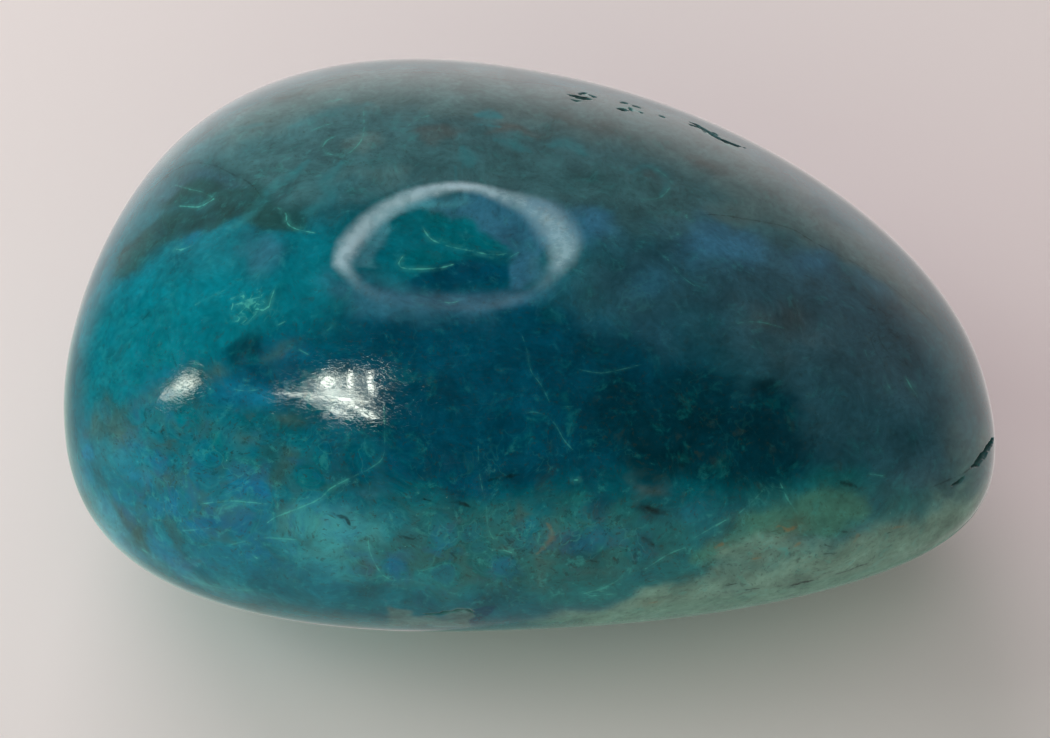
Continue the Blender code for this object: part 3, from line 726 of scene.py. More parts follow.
# Areas with a clear edge, over the patches: the breadth of the edge in pixels, strength and outline
seenAreas = [
    ("olive", 11, 0.77, [(116, 276), (124, 246), (150, 222), (170, 210), (200, 213), (225, 205), (255, 202),
                         (275, 206), (288, 222), (265, 226), (240, 222), (215, 229), (182, 240), (160, 256),
                         (138, 280)]),
    ("olive", 18, 0.70, [(160, 196), (182, 172), (215, 164), (245, 172), (270, 190), (300, 205), (296, 222),
                         (262, 206), (232, 204), (205, 200), (180, 206)]),
    ("slate", 11, 0.51, [(146, 196), (165, 178), (190, 167), (225, 168), (250, 182), (225, 180), (200, 178),
                         (172, 188)]),
    ("umber", 14, 0.15, [(444, 120), (448, 112), (455, 105), (500, 101), (545, 112), (520, 120), (490, 128),
                         (445, 127)]),
    ("nightTeal", 18, 0.50, [(690, 400), (740, 385), (800, 392), (815, 420), (750, 430), (700, 425)]),
    ("umber", 9, 0.51, [(410, 131), (428, 125), (466, 132), (460, 141), (430, 140)]),
    ("umber", 9, 0.51, [(488, 133), (512, 125), (560, 130), (545, 139), (515, 142)]),
    ("smokeTeal", 4, 0.85, [(470, 113), (481, 108), (497, 108), (506, 113), (498, 119), (478, 120)]),
    ("smokeTeal", 7, 0.68, [(500, 141), (520, 136), (570, 141), (577, 151), (592, 156), (570, 162),
                            (540, 152)]),
    ("smoke", 7, 0.68, [(343, 144), (355, 134), (372, 133), (380, 145), (362, 154), (346, 153)]),
    ("smoke", 11, 0.42, [(332, 180), (350, 166), (390, 162), (420, 170), (400, 182), (360, 188)]),
    ("smoke", 11, 0.59, [(700, 212), (745, 196), (800, 196), (850, 228), (905, 272), (945, 336), (906, 299),
                         (860, 266), (814, 242), (769, 223), (735, 216)]),
    ("brightTeal", 14, 0.60, [(385, 285), (375, 262), (392, 240), (420, 220), (450, 217), (480, 224),
                              (497, 245), (470, 262), (440, 275), (405, 285)]),
    # painted sheen on the upper right wall of the hollow
    ("hazeBlue", 10, 0.85, [(470, 203), (505, 203), (535, 212), (552, 235), (545, 275), (518, 286),
                            (500, 268), (516, 254), (496, 234), (478, 222)]),
    ("smokeTeal", 10, 0.30, [(528, 245), (545, 238), (552, 262), (540, 280), (528, 272)]),
    ("brightTeal", 7, 0.75, [(384, 246), (400, 229), (424, 216), (428, 240), (404, 250), (396, 262),
                             (386, 258)]),
    ("leafGreen", 5, 0.60, [(423, 221), (440, 217), (468, 220), (490, 236), (514, 250), (490, 254),
                            (455, 247), (430, 240)]),
    ("leafGreen", 5, 0.85, [(398, 262), (404, 253), (413, 245), (432, 246), (458, 260), (435, 267),
                            (408, 269)]),
    ("deepBlue", 8, 0.60, [(402, 276), (440, 271), (470, 262), (500, 258), (504, 270), (488, 284), (450, 290),
                           (418, 286)]),
    ("deepBlue", 8, 0.80, [(450, 272), (480, 268), (500, 274), (484, 286), (455, 288)]),
    # painted sheen: the window mirrored on the upper left wall of the hollow
    ("rimBlue", 8, 0.85, [(345, 262), (352, 246), (366, 232), (385, 218), (410, 207), (440, 200), (470, 197),
                          (475, 204), (440, 208), (415, 216), (395, 228), (380, 242), (368, 258), (372, 272),
                          (356, 272)]),
    ("brightTeal", 6, 0.45, [(376, 262), (388, 256), (400, 266), (420, 273), (400, 280), (382, 274)]),
    ("dust", 10, 0.50, [(264, 363), (274, 350), (292, 340), (298, 344), (284, 358), (272, 366)]),
    ("nightTeal", 9, 0.51, [(222, 350), (238, 334), (262, 340), (264, 362), (240, 366)]),
    ("dust", 11, 0.50, [(86, 428), (92, 406), (125, 396), (165, 385), (200, 364), (225, 366), (236, 376),
                        (205, 390), (165, 402), (125, 416), (102, 434)]),
    ("oceanTeal", 7, 0.68, [(299, 482), (308, 474), (325, 476), (333, 486), (322, 496), (305, 493)]),
    ("skyBlue", 7, 0.64, [(223, 474), (236, 463), (262, 464), (273, 480), (268, 495), (250, 499),
                          (230, 494)]),
    ("skyBlue", 7, 0.51, [(150, 501), (160, 489), (182, 490), (194, 504), (186, 516), (164, 514)]),
    ("skyBlue", 7, 0.42, [(121, 480), (132, 468), (148, 471), (149, 487), (132, 491)]),
    ("skyBlue", 4, 0.68, [(84, 447), (91, 438), (100, 443), (99, 454), (88, 456)]),
    ("skyBlue", 7, 0.51, [(381, 562), (390, 548), (410, 549), (419, 565), (408, 579), (390, 578)]),
    ("mauve", 7, 0.38, [(156, 556), (178, 550), (205, 556), (204, 567), (175, 568)]),
    ("turquoise", 20, 0.64, [(268, 528), (288, 508), (320, 500), (360, 502), (390, 515), (396, 532),
                             (372, 546), (335, 551), (290, 546)]),
    ("turquoise", 7, 0.59, [(316, 520), (330, 512), (350, 516), (354, 527), (336, 533), (320, 530)]),
    ("mauve", 7, 0.42, [(350, 486), (360, 476), (376, 476), (385, 488), (372, 498), (356, 496)]),
    ("turquoise", 9, 0.51, [(200, 506), (218, 498), (262, 503), (255, 513), (225, 516)]),
    ("dust", 9, 0.45, [(204, 474), (214, 461), (225, 464), (226, 480), (214, 490)]),
    ("dust", 9, 0.36, [(269, 462), (280, 452), (294, 458), (288, 480), (278, 499), (270, 488)]),
    ("dust", 9, 0.59, [(110, 502), (124, 504), (142, 526), (152, 548), (138, 549), (120, 530)]),
    ("dust", 9, 0.51, [(350, 563), (363, 559), (374, 573), (366, 582)]),
    ("deepBlue", 9, 0.68, [(446, 492), (458, 474), (484, 474), (496, 488), (482, 507), (458, 503)]),
    ("brightTeal", 7, 0.59, [(497, 546), (510, 530), (530, 521), (548, 532), (538, 549), (515, 554)]),
    ("deepBlue", 7, 0.59, [(554, 550), (562, 534), (585, 530), (598, 545), (586, 558), (564, 560)]),
    ("dust", 7, 0.51, [(508, 530), (518, 500), (525, 518), (536, 519), (524, 526)]),
    ("dust", 9, 0.59, [(530, 570), (540, 554), (553, 560), (545, 590), (533, 588)]),
    ("deepBlue", 9, 0.51, [(590, 512), (600, 496), (620, 504), (612, 522), (598, 526)]),
    ("emerald", 13, 0.77, [(690, 558), (718, 529), (745, 512), (790, 498), (835, 488), (868, 494), (866, 508),
                           (835, 526), (780, 540), (740, 560), (715, 572)]),
    ("paleGreen", 28, 0.62, [(625, 614), (658, 600), (697, 580), (732, 552), (790, 534), (850, 536),
                             (905, 526), (950, 512), (982, 500), (962, 540), (900, 575), (830, 594),
                             (700, 616)]),
    ("paleGreen", 18, 0.70, [(570, 629), (606, 615), (648, 604), (700, 593), (745, 576), (795, 560),
                             (860, 545), (905, 528), (950, 512), (980, 502), (960, 540), (900, 575),
                             (830, 594), (760, 606), (650, 625)]),
    ("seaGreen", 16, 0.30, [(690, 575), (720, 556), (790, 545), (850, 528), (890, 515), (940, 500),
                            (930, 520), (880, 540), (800, 562), (730, 585)]),
    ("nightTeal", 9, 0.15, [(852, 517), (868, 504), (892, 503), (886, 515), (866, 523)]),
    ("smoke", 6, 0.75, [(384, 606), (410, 611), (450, 612), (470, 608), (475, 617), (464, 626), (420, 628),
                        (390, 622)]),
    ("deepBlue", 4, 0.85, [(470, 611), (484, 605), (498, 607), (490, 622), (476, 624)]),
]
# How strongly the stone is mottled, how many pale veins cross it, how many dark flecks lie in it, and
# where it has grown in round cells
seenWays = {
    "mottle": [(250, 480, 200, 90, 0, 1.0), (560, 540, 200, 60, 0, 1.0), (700, 430, 150, 50, 0, 0.7),
               (780, 560, 130, 40, 10, 0.6), (300, 150, 160, 50, 10, 0.35), (300, 370, 90, 30, 0, 0.6)],
    "veining": [(480, 560, 160, 50, 0, 1.0), (230, 500, 130, 70, 0, 0.9), (700, 540, 60, 30, 15, 0.8),
                (810, 550, 100, 26, 10, 0.8), (248, 308, 20, 16, 0, 1.0), (300, 150, 90, 40, 10, 0.3),
                (560, 470, 100, 30, 0, 0.4)],
    "flecks": [(560, 540, 150, 45, 0, 0.9), (200, 440, 100, 50, 0, 0.8), (800, 570, 80, 22, 10, 0.5),
               (893, 340, 22, 44, 20, 0.8), (700, 430, 100, 40, 0, 0.5), (600, 100, 50, 10, -15, 0.5)],
    "cells": [(210, 510, 120, 50, 0, 1.0), (430, 560, 90, 34, 0, 0.9), (580, 545, 60, 28, 0, 0.6),
              (150, 430, 50, 30, 0, 0.6)],
}
# Patches out of the photograph's sight: (share along, angle round, half length and half width in mm, turn,
# strength)
hiddenPatches = {
    "deepBlue": [(-0.35, -92, 6, 4, 30, 0.6), (0.1, 150, 14, 7, 10, 0.9), (-0.6, 175, 8, 6, 0, 0.7),
                 (0.55, -150, 8, 5, 20, 0.5)],
    "nightTeal": [(0.55, 120, 9, 5, 0, 0.6), (0.5, -110, 8, 6, -15, 0.7)],
    "oceanTeal": [(0.25, -85, 6, 4, 60, 0.7), (-0.2, 180, 16, 10, 0, 0.8), (-0.7, -120, 9, 8, 0, 0.8),
                  (0.3, -140, 12, 7, 10, 0.7)],
    "brightTeal": [(0.55, -85, 6, 4, -40, 0.6), (-0.85, -60, 7, 7, 0, 0.8), (-0.5, -150, 9, 6, 15, 0.8),
                   (0.0, 165, 6, 4, 0, 0.5)],
    "smokeTeal": [(-0.15, -50, 14, 4, 6, 0.85), (0.5, -52, 6, 3, -20, 0.6), (0.0, -80, 20, 6, 0, 0.8),
                  (-0.5, -95, 9, 5, 10, 0.6), (0.6, -70, 9, 5, -10, 0.7)],
    "smoke": [(-0.7, -75, 7, 5, 40, 0.6), (-0.1, -65, 18, 3.5, 0, 0.9), (0.35, -95, 10, 3, 8, 0.6)],
    "umber": [(0.15, -100, 8, 2.5, 5, 0.6), (-0.4, -110, 5, 2, -10, 0.6), (-0.1, 140, 5, 1.5, 0, 0.4)],
    "olive": [(-0.25, -120, 9, 3, 12, 0.7), (0.7, -125, 5, 3, 0, 0.5)],
    "slate": [(0.85, -100, 6, 5, 0, 0.8), (0.75, 170, 7, 5, 0, 0.6)],
    "hazeBlue": [(-0.35, -92, 6, 4, 30, 0.7), (0.05, -100, 7, 3, 0, 0.5), (0.2, -125, 7, 3, 0, 0.5),
                 (-0.65, 140, 6, 4, 0, 0.5)],
    "turquoise": [(0.25, -85, 5, 3, 60, 0.6), (-0.35, 140, 9, 4, -8, 0.7), (0.2, 175, 7, 3, 12, 0.6),
                  (-0.1, -150, 8, 3, 0, 0.6)],
    "seaGreen": [(0.4, 140, 10, 5, 0, 0.7), (-0.1, -170, 9, 4, 0, 0.6), (-0.8, 130, 5, 5, 0, 0.5)],
    "paleGreen": [(0.45, 118, 14, 4, 4, 0.95), (0.75, 130, 6, 5, 0, 0.8), (0.35, -165, 7, 3, 0, 0.5)],
    "dust": [(-0.35, 122, 9, 2, 3, 0.8), (0.1, -155, 5, 1.5, 0, 0.5), (-0.6, -135, 4, 1.5, 10, 0.5)],
    "leafGreen": [(0.25, 135, 4, 2, 0, 0.6), (-0.3, -140, 3, 2, 0, 0.6)],
    "bayBlue": [(-0.5, 140, 12, 7, 0, 0.9), (0.0, -160, 10, 5, 0, 0.6)],
    "emerald": [(0.6, 110, 6, 3, 0, 0.6), (0.1, 128, 6, 2, 5, 0.5)],
    "mauve": [(0.5, -90, 8, 2.5, 0, 0.4)],
    "rimBlue": [(-0.8, 100, 5, 2, 30, 0.5)],
    "skyBlue": [(0.5, -95, 5, 3, -20, 0.6), (-0.1, -108, 6, 3, 10, 0.5), (-0.5, 130, 4, 2.5, 0, 0.8),
                (-0.2, 160, 3, 2, 0, 0.7), (0.0, -135, 3, 2, 0, 0.6)],
    "murk": [(-0.15, 170, 3, 1.5, 0, 0.4), (0.4, -130, 3, 1.5, 0, 0.4)],
}
hiddenWays = {
    "mottle": [(-0.2, 160, 26, 14, 0, 1.0), (0.0, -120, 24, 10, 0, 0.9), (0.0, -82, 26, 8, 0, 0.7)],
    "veining": [(-0.1, 150, 24, 10, 0, 0.9), (0.0, -130, 18, 8, 0, 0.6)],
    "flecks": [(0.0, 140, 24, 8, 0, 0.8), (0.1, -140, 14, 8, 0, 0.6)],
    "cells": [(-0.4, 150, 16, 9, 0, 0.9), (0.1, 160, 12, 8, 0, 0.7)],
}
# The edges of patches wander: size of the wandering and its reach, in mm
wandering = [(3.2, 0.9), (1.1, 0.4)]
wanderSeed = 1      # without one, the noise starts from the clock
edgeOn = 0.1        # cosine to the lens under which areas fade out


def wanderedPoints():
    noise.seed_set(wanderSeed)
    moved = []
    for vert in stone.data.vertices:
        place = vert.co.copy()
        for size, reach in wandering:
            place += noise.noise_vector(vert.co / (size * mm)) * reach * mm
        moved.append(place)
    return np.array(moved)


points = wanderedPoints()
sight = points - np.array(camera.location)
deep = -(sight @ np.array(towardsLens))
pixelX = view["photoSize"][0] / 2 + focal * (sight @ np.array(pictureRight)) / deep
pixelY = view["photoSize"][1] / 2 - focal * (sight @ np.array(pictureUp)) / deep
facing = np.array([v.normal for v in stone.data.vertices]) @ np.array(towardsLens)
facing = np.clip(facing / edgeOn, 0, 1)


def patchWeight(spot, normal, right, up, size, turn):
    # 1 at the middle of a patch that lies on the stone, a half at its edge
    turned = math.radians(turn)
    way = points - np.array(spot)
    depth = way @ np.array(normal)
    flat = way - np.outer(depth, np.array(normal))
    across, rise = flat @ np.array(right), flat @ np.array(up)
    one = (across * math.cos(turned) + rise * math.sin(turned)) / size[0]
    two = (rise * math.cos(turned) - across * math.sin(turned)) / size[1]
    return 2.0 ** -(one ** 2 + two ** 2 + (depth / max(size)) ** 2)


def areaWeight(outline, soft):
    # 1 inside a drawn outline and 0 beyond its soft edge
    inside = np.zeros(len(points), bool)
    gap = np.full(len(points), np.inf)
    for (ax, ay), (bx, by) in zip(outline, outline[1:] + outline[:1]):
        run = (pixelX - ax) * (bx - ax) + (pixelY - ay) * (by - ay)
        run = np.clip(run / ((bx - ax) ** 2 + (by - ay) ** 2), 0, 1)
        gap = np.minimum(gap, np.hypot(pixelX - ax - run * (bx - ax), pixelY - ay - run * (by - ay)))
        if ay != by:
            level = (pixelY > min(ay, by)) & (pixelY <= max(ay, by))
            inside ^= level & (pixelX < ax + (pixelY - ay) * (bx - ax) / (by - ay))
    share = np.clip(np.where(inside, gap, -gap) / (2 * soft) + 0.5, 0, 1)
    return facing * share * share * (3 - 2 * share)


def patchesOf(seen, hidden):
    # the strength of each patch at every point of the stone
    for x, y, halfWidth, halfHeight, turn, strength in seen:
        spot, normal = onStone(x, y)
        pixel = (camera.location - spot).dot(towardsLens) / focal
        size = (halfWidth * pixel, halfHeight * pixel)
        yield strength * patchWeight(spot, normal, pictureRight, pictureUp, size, turn)
    for along, angle, halfLength, halfWidth, turn, strength in hidden:
        spot, normal, _, _ = surface.find_nearest(nearPlace((along, angle)))
        right = (pictureRight - normal * normal.x).normalized()
        size = (halfLength * mm, halfWidth * mm)
        yield strength * patchWeight(spot, normal, right, normal.cross(right), size, turn)


def paintOver(fields, name, weight):
    for field in fields.values():
        field *= 1 - weight
    fields[name] += weight


def storeVectors(name, fields):
    # three scalars to a vector attribute, so that few attributes carry many fields
    for k in range(0, len(fields), 3):
        columns = (fields[k:k + 3] + [np.zeros(len(points))] * 2)[:3]
        kept = stone.data.attributes.new(f"{name}{k // 3}", "FLOAT_VECTOR", "POINT")
        kept.data.foreach_set("vector", np.stack(columns, 1).ravel())


mineralFields = {name: np.zeros(len(points)) for name in minerals}
mineralFields["oceanTeal"] += 1
for name in minerals:
    for weight in patchesOf(seenPatches.get(name, []), hiddenPatches.get(name, [])):
        paintOver(mineralFields, name, weight)
for name, soft, strength, outline in seenAreas:
    paintOver(mineralFields, name, strength * areaWeight(outline, soft))
storeVectors("mineral", list(mineralFields.values()))
wayFields = {name: np.zeros(len(points)) for name in seenWays}
for name, field in wayFields.items():
    for weight in patchesOf(seenWays[name], hiddenWays[name]):
        field += (1 - field) * weight
storeVectors("ways", list(wayFields.values()))
print("minerals painted:", len(minerals), "kinds and", len(seenAreas), "areas")


# How the material is drawn, with sizes in mm. A range is where a value fades in and where it is full.
look = {
    "swirls": [(11.0, 2.0), (3.2, 0.8), (1.2, 0.12)],       # size of each swirl and its push
    "mottleSize": 5.0,
    "mottleShift": (23.0, 7.0, 0.0),                        # between the places of its three grains
    "mottleBase": 1.3,          # its contrast where it is calm, and what the field adds
    "mottleMore": 3.4,
    "mottleLeast": 0.02,        # what is left of a mineral where its grain is lowest
    "clouds": [(2.6, 4.0, 0.26), (0.5, 3.0, 0.14)],         # size, detail and depth
    "cloudRange": (0.3, 0.7),
    "cellSize": 2.1,            # round cells with a pale skin; each value is a share of this size
    "cellUneven": 0.25,
    "cellGround": (0.62, 0.80),                             # range of the ground between them
    "cellInside": (0.45, 0.58),
    "cellSkin": 0.56,
    "cellSkinRange": (0.01, 0.05),
    "cellBlues": ((0.50, 0.35), (0.60, 0.75)),              # ranges of the pick that gives each its blue
    # colour and strength of the ground, the two blues and the skin
    "cellLooks": [("#45594c", 0.30), ("#1a6b90", 0.32), ("#1c7f8c", 0.28), ("#3f9fa6", 0.13)],
    "webs": [(4.2, 0.011, 0.30), (1.7, 0.016, 0.20)],       # size, thickness and strength of the vein webs
    "webShown": 0.7,            # scale of the noise that breaks them, as a share of theirs, and its range
    "webShownRange": (0.44, 0.64),
    "webColour": "#46a89c",
    # grains of other minerals: size, range, colour, strength, and the field that they follow
    "crumbs": [
        (3.0, (0.50, 0.66), "#05669a", 0.50, "cells"),
        (2.0, (0.53, 0.68), "#0f6c6c", 0.34, "mottle"),
        (1.5, (0.54, 0.68), "#3b4a3e", 0.50, "flecks"),
        (1.0, (0.56, 0.70), "#44a9a4", 0.34, "veining"),
        (0.6, (0.57, 0.66), "#0b2a2d", 0.60, "flecks"),
        (0.33, (0.56, 0.66), "#2b3a33", 0.55, "mottle"),
        (0.5, (0.70, 0.76), "#a8dccb", 0.50, "veining"),
    ],
    "bareRange": (0.02, 0.35),  # depth in a fissure, as a share of the whole, at which its stone is bare
    "bareLook": ("#2a6461", 0.8),
    "ior": 1.54,                # quartz
    "gloss": 0.03,              # roughness of the polish, its fine scratches, the worn rim and the fissures
    "scratched": 0.17,
    "worn": 0.50,
    "bare": 0.80,
    "scratchSize": 0.22,        # coarser than real ones, so that they show
    "scratchRange": (0.56, 0.72),
    "scratchDepth": 0.0007,
    "strokes": [(-32, 2.0, 0.10), (6, 2.6, 0.12)],          # long scratches: turn in degrees, length, width
    "strokeRange": (0.54, 0.70),
    "strokeGloss": 0.12,
    "strokeDepth": 0.0016,
    "waveSize": 3.0,            # the hand polish is not quite even
    "waveDepth": 0.012,
}
# Each kind of seam: colour, wobble of its edge in mm, solid share of its width, halo, strength,
# and what is left of it where it is broken
seamLooks = {
    "soft": ("#2b828a", 0.5, 0.0, 0.0, 0.8, 0.5),
    "pale": ("#4fb7ac", 0.20, 0.0, 0.25, 0.85, 0.1),
    "dark": ("#0b1f20", 0.36, 0.0, 0.25, 0.88, 0.55),
    "rust": ("#86683c", 0.45, 0.0, 0.2, 0.75, 0.6),
    # pale colour of the worn rim: a painted sheen, strong at the upper left and faint at the bottom
    "worn": ("#b8dce8", 0.22, 0.0, 0.0, 0.85, 0.72),
}
seamEdge = {
    "raggedSize": 0.5,          # mm
    "brokenSize": 0.9,
    "brokenRange": (0.34, 0.60),
    "farRange": (0.2, 0.45),    # mm from a seam over which the measured way gives place to the stored gap
    "slack": 0.2,               # mm by which the stored gap is taken too long between two mesh points
    "outer": 0.8,               # where a seam ends and where its halo ends, in widths
    "haloEnd": 4.0,
}


# Material: chrysocolla grown through quartz, tumbled and hand polished. It gives the eye deep blue-greens in
# cloudy patches under a glassy gloss, with fine scratches that fray its highlights and a satin band where
# thumbs rub, whose pale colour is a painted sheen.
def stoneMaterial():
    made = bpy.data.materials.new("polishedChrysocolla")
    made.use_nodes = True
    tree = made.node_tree
    shader = tree.nodes["Principled BSDF"]

    # place in mm, pushed about by swirls
    place = addNode(tree, "ShaderNodeTexCoord", give="Object")
    place = addNode(tree, vectorNode, {0: place, "Scale": 1 / mm}, operation="SCALE")
    swirled = place
    for size, push in look["swirls"]:
        swirl = addNode(tree, noiseNode, {"Vector": place, "Scale": 1 / size, "Detail": 2.0}, "Color")
        swirl = addNode(tree, vectorNode, [swirl, noiseMiddle], operation="SUBTRACT")
        swirled = addNode(tree, vectorNode, [swirl, (push * 2,) * 3, swirled], operation="MULTIPLY_ADD")
    ways = [addNode(tree, attributeNode, give="Vector", attribute_name=f"ways{k}") for k in (0, 1)]
    mottle, veining, flecks = addNode(tree, splitNode, [ways[0]], give=None).outputs
    cells = addNode(tree, splitNode, [ways[1]])
    fields = {"mottle": mottle, "veining": veining, "flecks": flecks, "cells": cells}
    contrast = addNode(tree, "MULTIPLY_ADD", [mottle, look["mottleMore"], look["mottleBase"]])

    # three grains, each of three noises; a mineral grows where its own is high, and its rival where it is low
    grains = []
    for k in range(3):
        shifted = [c * k for c in look["mottleShift"]]
        shifted = addNode(tree, vectorNode, [swirled, shifted], operation="ADD")
        grain = addNode(tree, noiseNode, {"Vector": shifted, "Scale": 1 / look["mottleSize"], "Detail": 4.0,
                                          "Roughness": 0.52}, "Color")
        grain = addNode(tree, vectorNode, [grain, noiseMiddle], operation="SUBTRACT")
        grains.append(addNode(tree, vectorNode, {0: grain, "Scale": contrast}, operation="SCALE"))

    # each mineral's share: its field, broken up by its grain and sharpened
    names = list(minerals)
    sums = [0.0, 0.0, 0.0, 1e-6]    # red, green and blue, and the shares themselves, kept off nought
    for k in range(0, len(names), 3):
        field = addNode(tree, attributeNode, give="Vector", attribute_name=f"mineral{k // 3}")
        side = (1.0 if k // 3 % 2 else -1.0,) * 3
        grain = addNode(tree, vectorNode, [grains[k // 3 % 3], side, (1.0,) * 3], operation="MULTIPLY_ADD")
        grain = addNode(tree, vectorNode, [grain, (look["mottleLeast"],) * 3], operation="MAXIMUM")
        share = addNode(tree, vectorNode, [grain, field], operation="MULTIPLY")
        share = addNode(tree, vectorNode, [share, share], operation="MULTIPLY")
        colours = [linearColour(minerals[name]) for name in names[k:k + 3]]
        for c, values in enumerate(zip(*colours)):
            part = addNode(tree, vectorNode, [share, values], 1, operation="DOT_PRODUCT")
            sums[c] = addNode(tree, "ADD", [part, sums[c]])
    colour = addNode(tree, joinNode, sums[:3])
    whole = addNode(tree, "DIVIDE", [1.0, sums[3]])
    colour = addNode(tree, vectorNode, {0: colour, "Scale": whole}, operation="SCALE")

    # clouds and fine grain: lighter and darker
    for size, detail, depth in look["clouds"]:
        cloud = addNode(tree, noiseNode, {"Vector": swirled, "Scale": 1 / size, "Detail": detail,
                                          "Roughness": 0.55})
        cloud = addNode(tree, rangeNode, [cloud, *look["cloudRange"], 1 - depth, 1 + depth])
        colour = addNode(tree, vectorNode, {0: colour, "Scale": cloud}, operation="SCALE")

    # round cells: darker ground between them, their inside in two blues, and a pale skin
    layers = []
    cell = {"Vector": swirled, "Scale": 1 / look["cellSize"]}
    cell = addNode(tree, "ShaderNodeTexVoronoi", cell, give=None).outputs
    pick = addNode(tree, splitNode, [cell["Color"]])
    apart = addNode(tree, "MULTIPLY_ADD", [pick, look["cellUneven"], cell["Distance"]])
    between = addNode(tree, rangeNode, [apart, *look["cellGround"]], **smooth)
    inside = addNode(tree, rangeNode, [apart, *look["cellInside"], 1.0, 0.0], **smooth)
    skin = addNode(tree, "SUBTRACT", [apart, look["cellSkin"]])
    skin = addNode(tree, "ABSOLUTE", [skin])
    skin = addNode(tree, rangeNode, [skin, *look["cellSkinRange"], 1.0, 0.0], **smooth)
    blues = [addNode(tree, rangeNode, [pick, *ends], **smooth) for ends in look["cellBlues"]]
    blues = [addNode(tree, "MULTIPLY", [inside, blue]) for blue in blues]
    for mask, (hexValue, strength) in zip((between, *blues, skin), look["cellLooks"]):
        layers.append((addNode(tree, "MULTIPLY", [mask, cells]), hexValue, strength))

    # webs of pale veins: the thin lines where a noise crosses its middle, broken by another noise
    for size, thickness, strength in look["webs"]:
        web = addNode(tree, noiseNode, {"Vector": swirled, "Scale": 1 / size, "Detail": 3.0,
                                        "Roughness": 0.55})
        web = addNode(tree, "SUBTRACT", [web, noiseMiddle[0]])
        web = addNode(tree, "ABSOLUTE", [web])
        web = addNode(tree, rangeNode, [web, 0.0, thickness, 1.0, 0.0], **smooth)
        shown = addNode(tree, noiseNode, {"Vector": place, "Scale": look["webShown"] / size, "Detail": 4.0})
        shown = addNode(tree, rangeNode, [shown, *look["webShownRange"]], **smooth)
        web = addNode(tree, "MULTIPLY", [web, shown])
        layers.append((addNode(tree, "MULTIPLY", [web, veining]), look["webColour"], strength))

    # grains of other minerals, and bright sparks of quartz
    for size, ends, hexValue, strength, where in look["crumbs"]:
        crumb = addNode(tree, noiseNode, {"Vector": swirled, "Scale": 1 / size, "Detail": 5.0,
                                          "Roughness": 0.66})
        crumb = addNode(tree, rangeNode, [crumb, *ends], **smooth)
        layers.append((addNode(tree, "MULTIPLY", [crumb, fields[where]]), hexValue, strength))

    # seams: the way to the nearest one is measured here, so its edge is sharp between mesh points
    ragged = addNode(tree, noiseNode, {"Vector": place, "Scale": 1 / seamEdge["raggedSize"], "Detail": 4.0})
    ragged = addNode(tree, "SUBTRACT", [ragged, noiseMiddle[0]])
    broken = addNode(tree, noiseNode, {"Vector": place, "Scale": 1 / seamEdge["brokenSize"], "Detail": 3.0})
    broken = addNode(tree, rangeNode, [broken, *seamEdge["brokenRange"]], **smooth)
    farRange = [c * mm for c in seamEdge["farRange"]]
    seams = {}
    for kind, (hexValue, wobble, solid, halo, strength, left) in seamLooks.items():
        way = addNode(tree, attributeNode, give="Vector", attribute_name=kind + "Way")
        fine = addNode(tree, vectorNode, [way], 1, operation="LENGTH")
        gap, width, tone = [addNode(tree, attributeNode, give="Fac", attribute_name=kind + label)
                            for label in ("Gap", "Width", "Tone")]
        far = addNode(tree, rangeNode, [gap, *farRange], **smooth)
        off = addNode(tree, mixNode, {"Factor": far, "A": fine, "B": gap})
        least = addNode(tree, "SUBTRACT", [gap, seamEdge["slack"] * mm])
        off = addNode(tree, "MAXIMUM", [off, least])
        off = addNode(tree, "MULTIPLY_ADD", [ragged, wobble * mm, off])
        inner = addNode(tree, "MULTIPLY", [width, solid])
        outer = addNode(tree, "MULTIPLY", [width, seamEdge["outer"]])
        seam = addNode(tree, rangeNode, [off, inner, outer, 1.0, 0.0], **smooth)
        if halo:
            around = addNode(tree, "MULTIPLY", [width, seamEdge["haloEnd"]])
            around = addNode(tree, rangeNode, [off, inner, around, halo, 0.0], **smooth)
            seam = addNode(tree, "MAXIMUM", [seam, around])
        seam = addNode(tree, "MULTIPLY", [seam, tone])
        kept = addNode(tree, "MULTIPLY_ADD", [broken, 1 - left, left])
        seams[kind] = addNode(tree, "MULTIPLY", [seam, kept])
        layers.append((seams[kind], hexValue, strength))

    # bare stone in the fissures
    sunk = addNode(tree, attributeNode, give="Fac", attribute_name="cutSunk")
    bare = addNode(tree, rangeNode, [sunk, *look["bareRange"]], **smooth)
    layers.append((bare, *look["bareLook"]))
    for mask, hexValue, strength in layers:
        amount = addNode(tree, "MULTIPLY", [mask, strength], use_clamp=True)
        colour = addNode(tree, mixNode, {"Factor": amount, "A": colour, "B": linearColour(hexValue)[:3]},
                         "Result", data_type="VECTOR")
    tree.links.new(colour, shader.inputs["Base Color"])

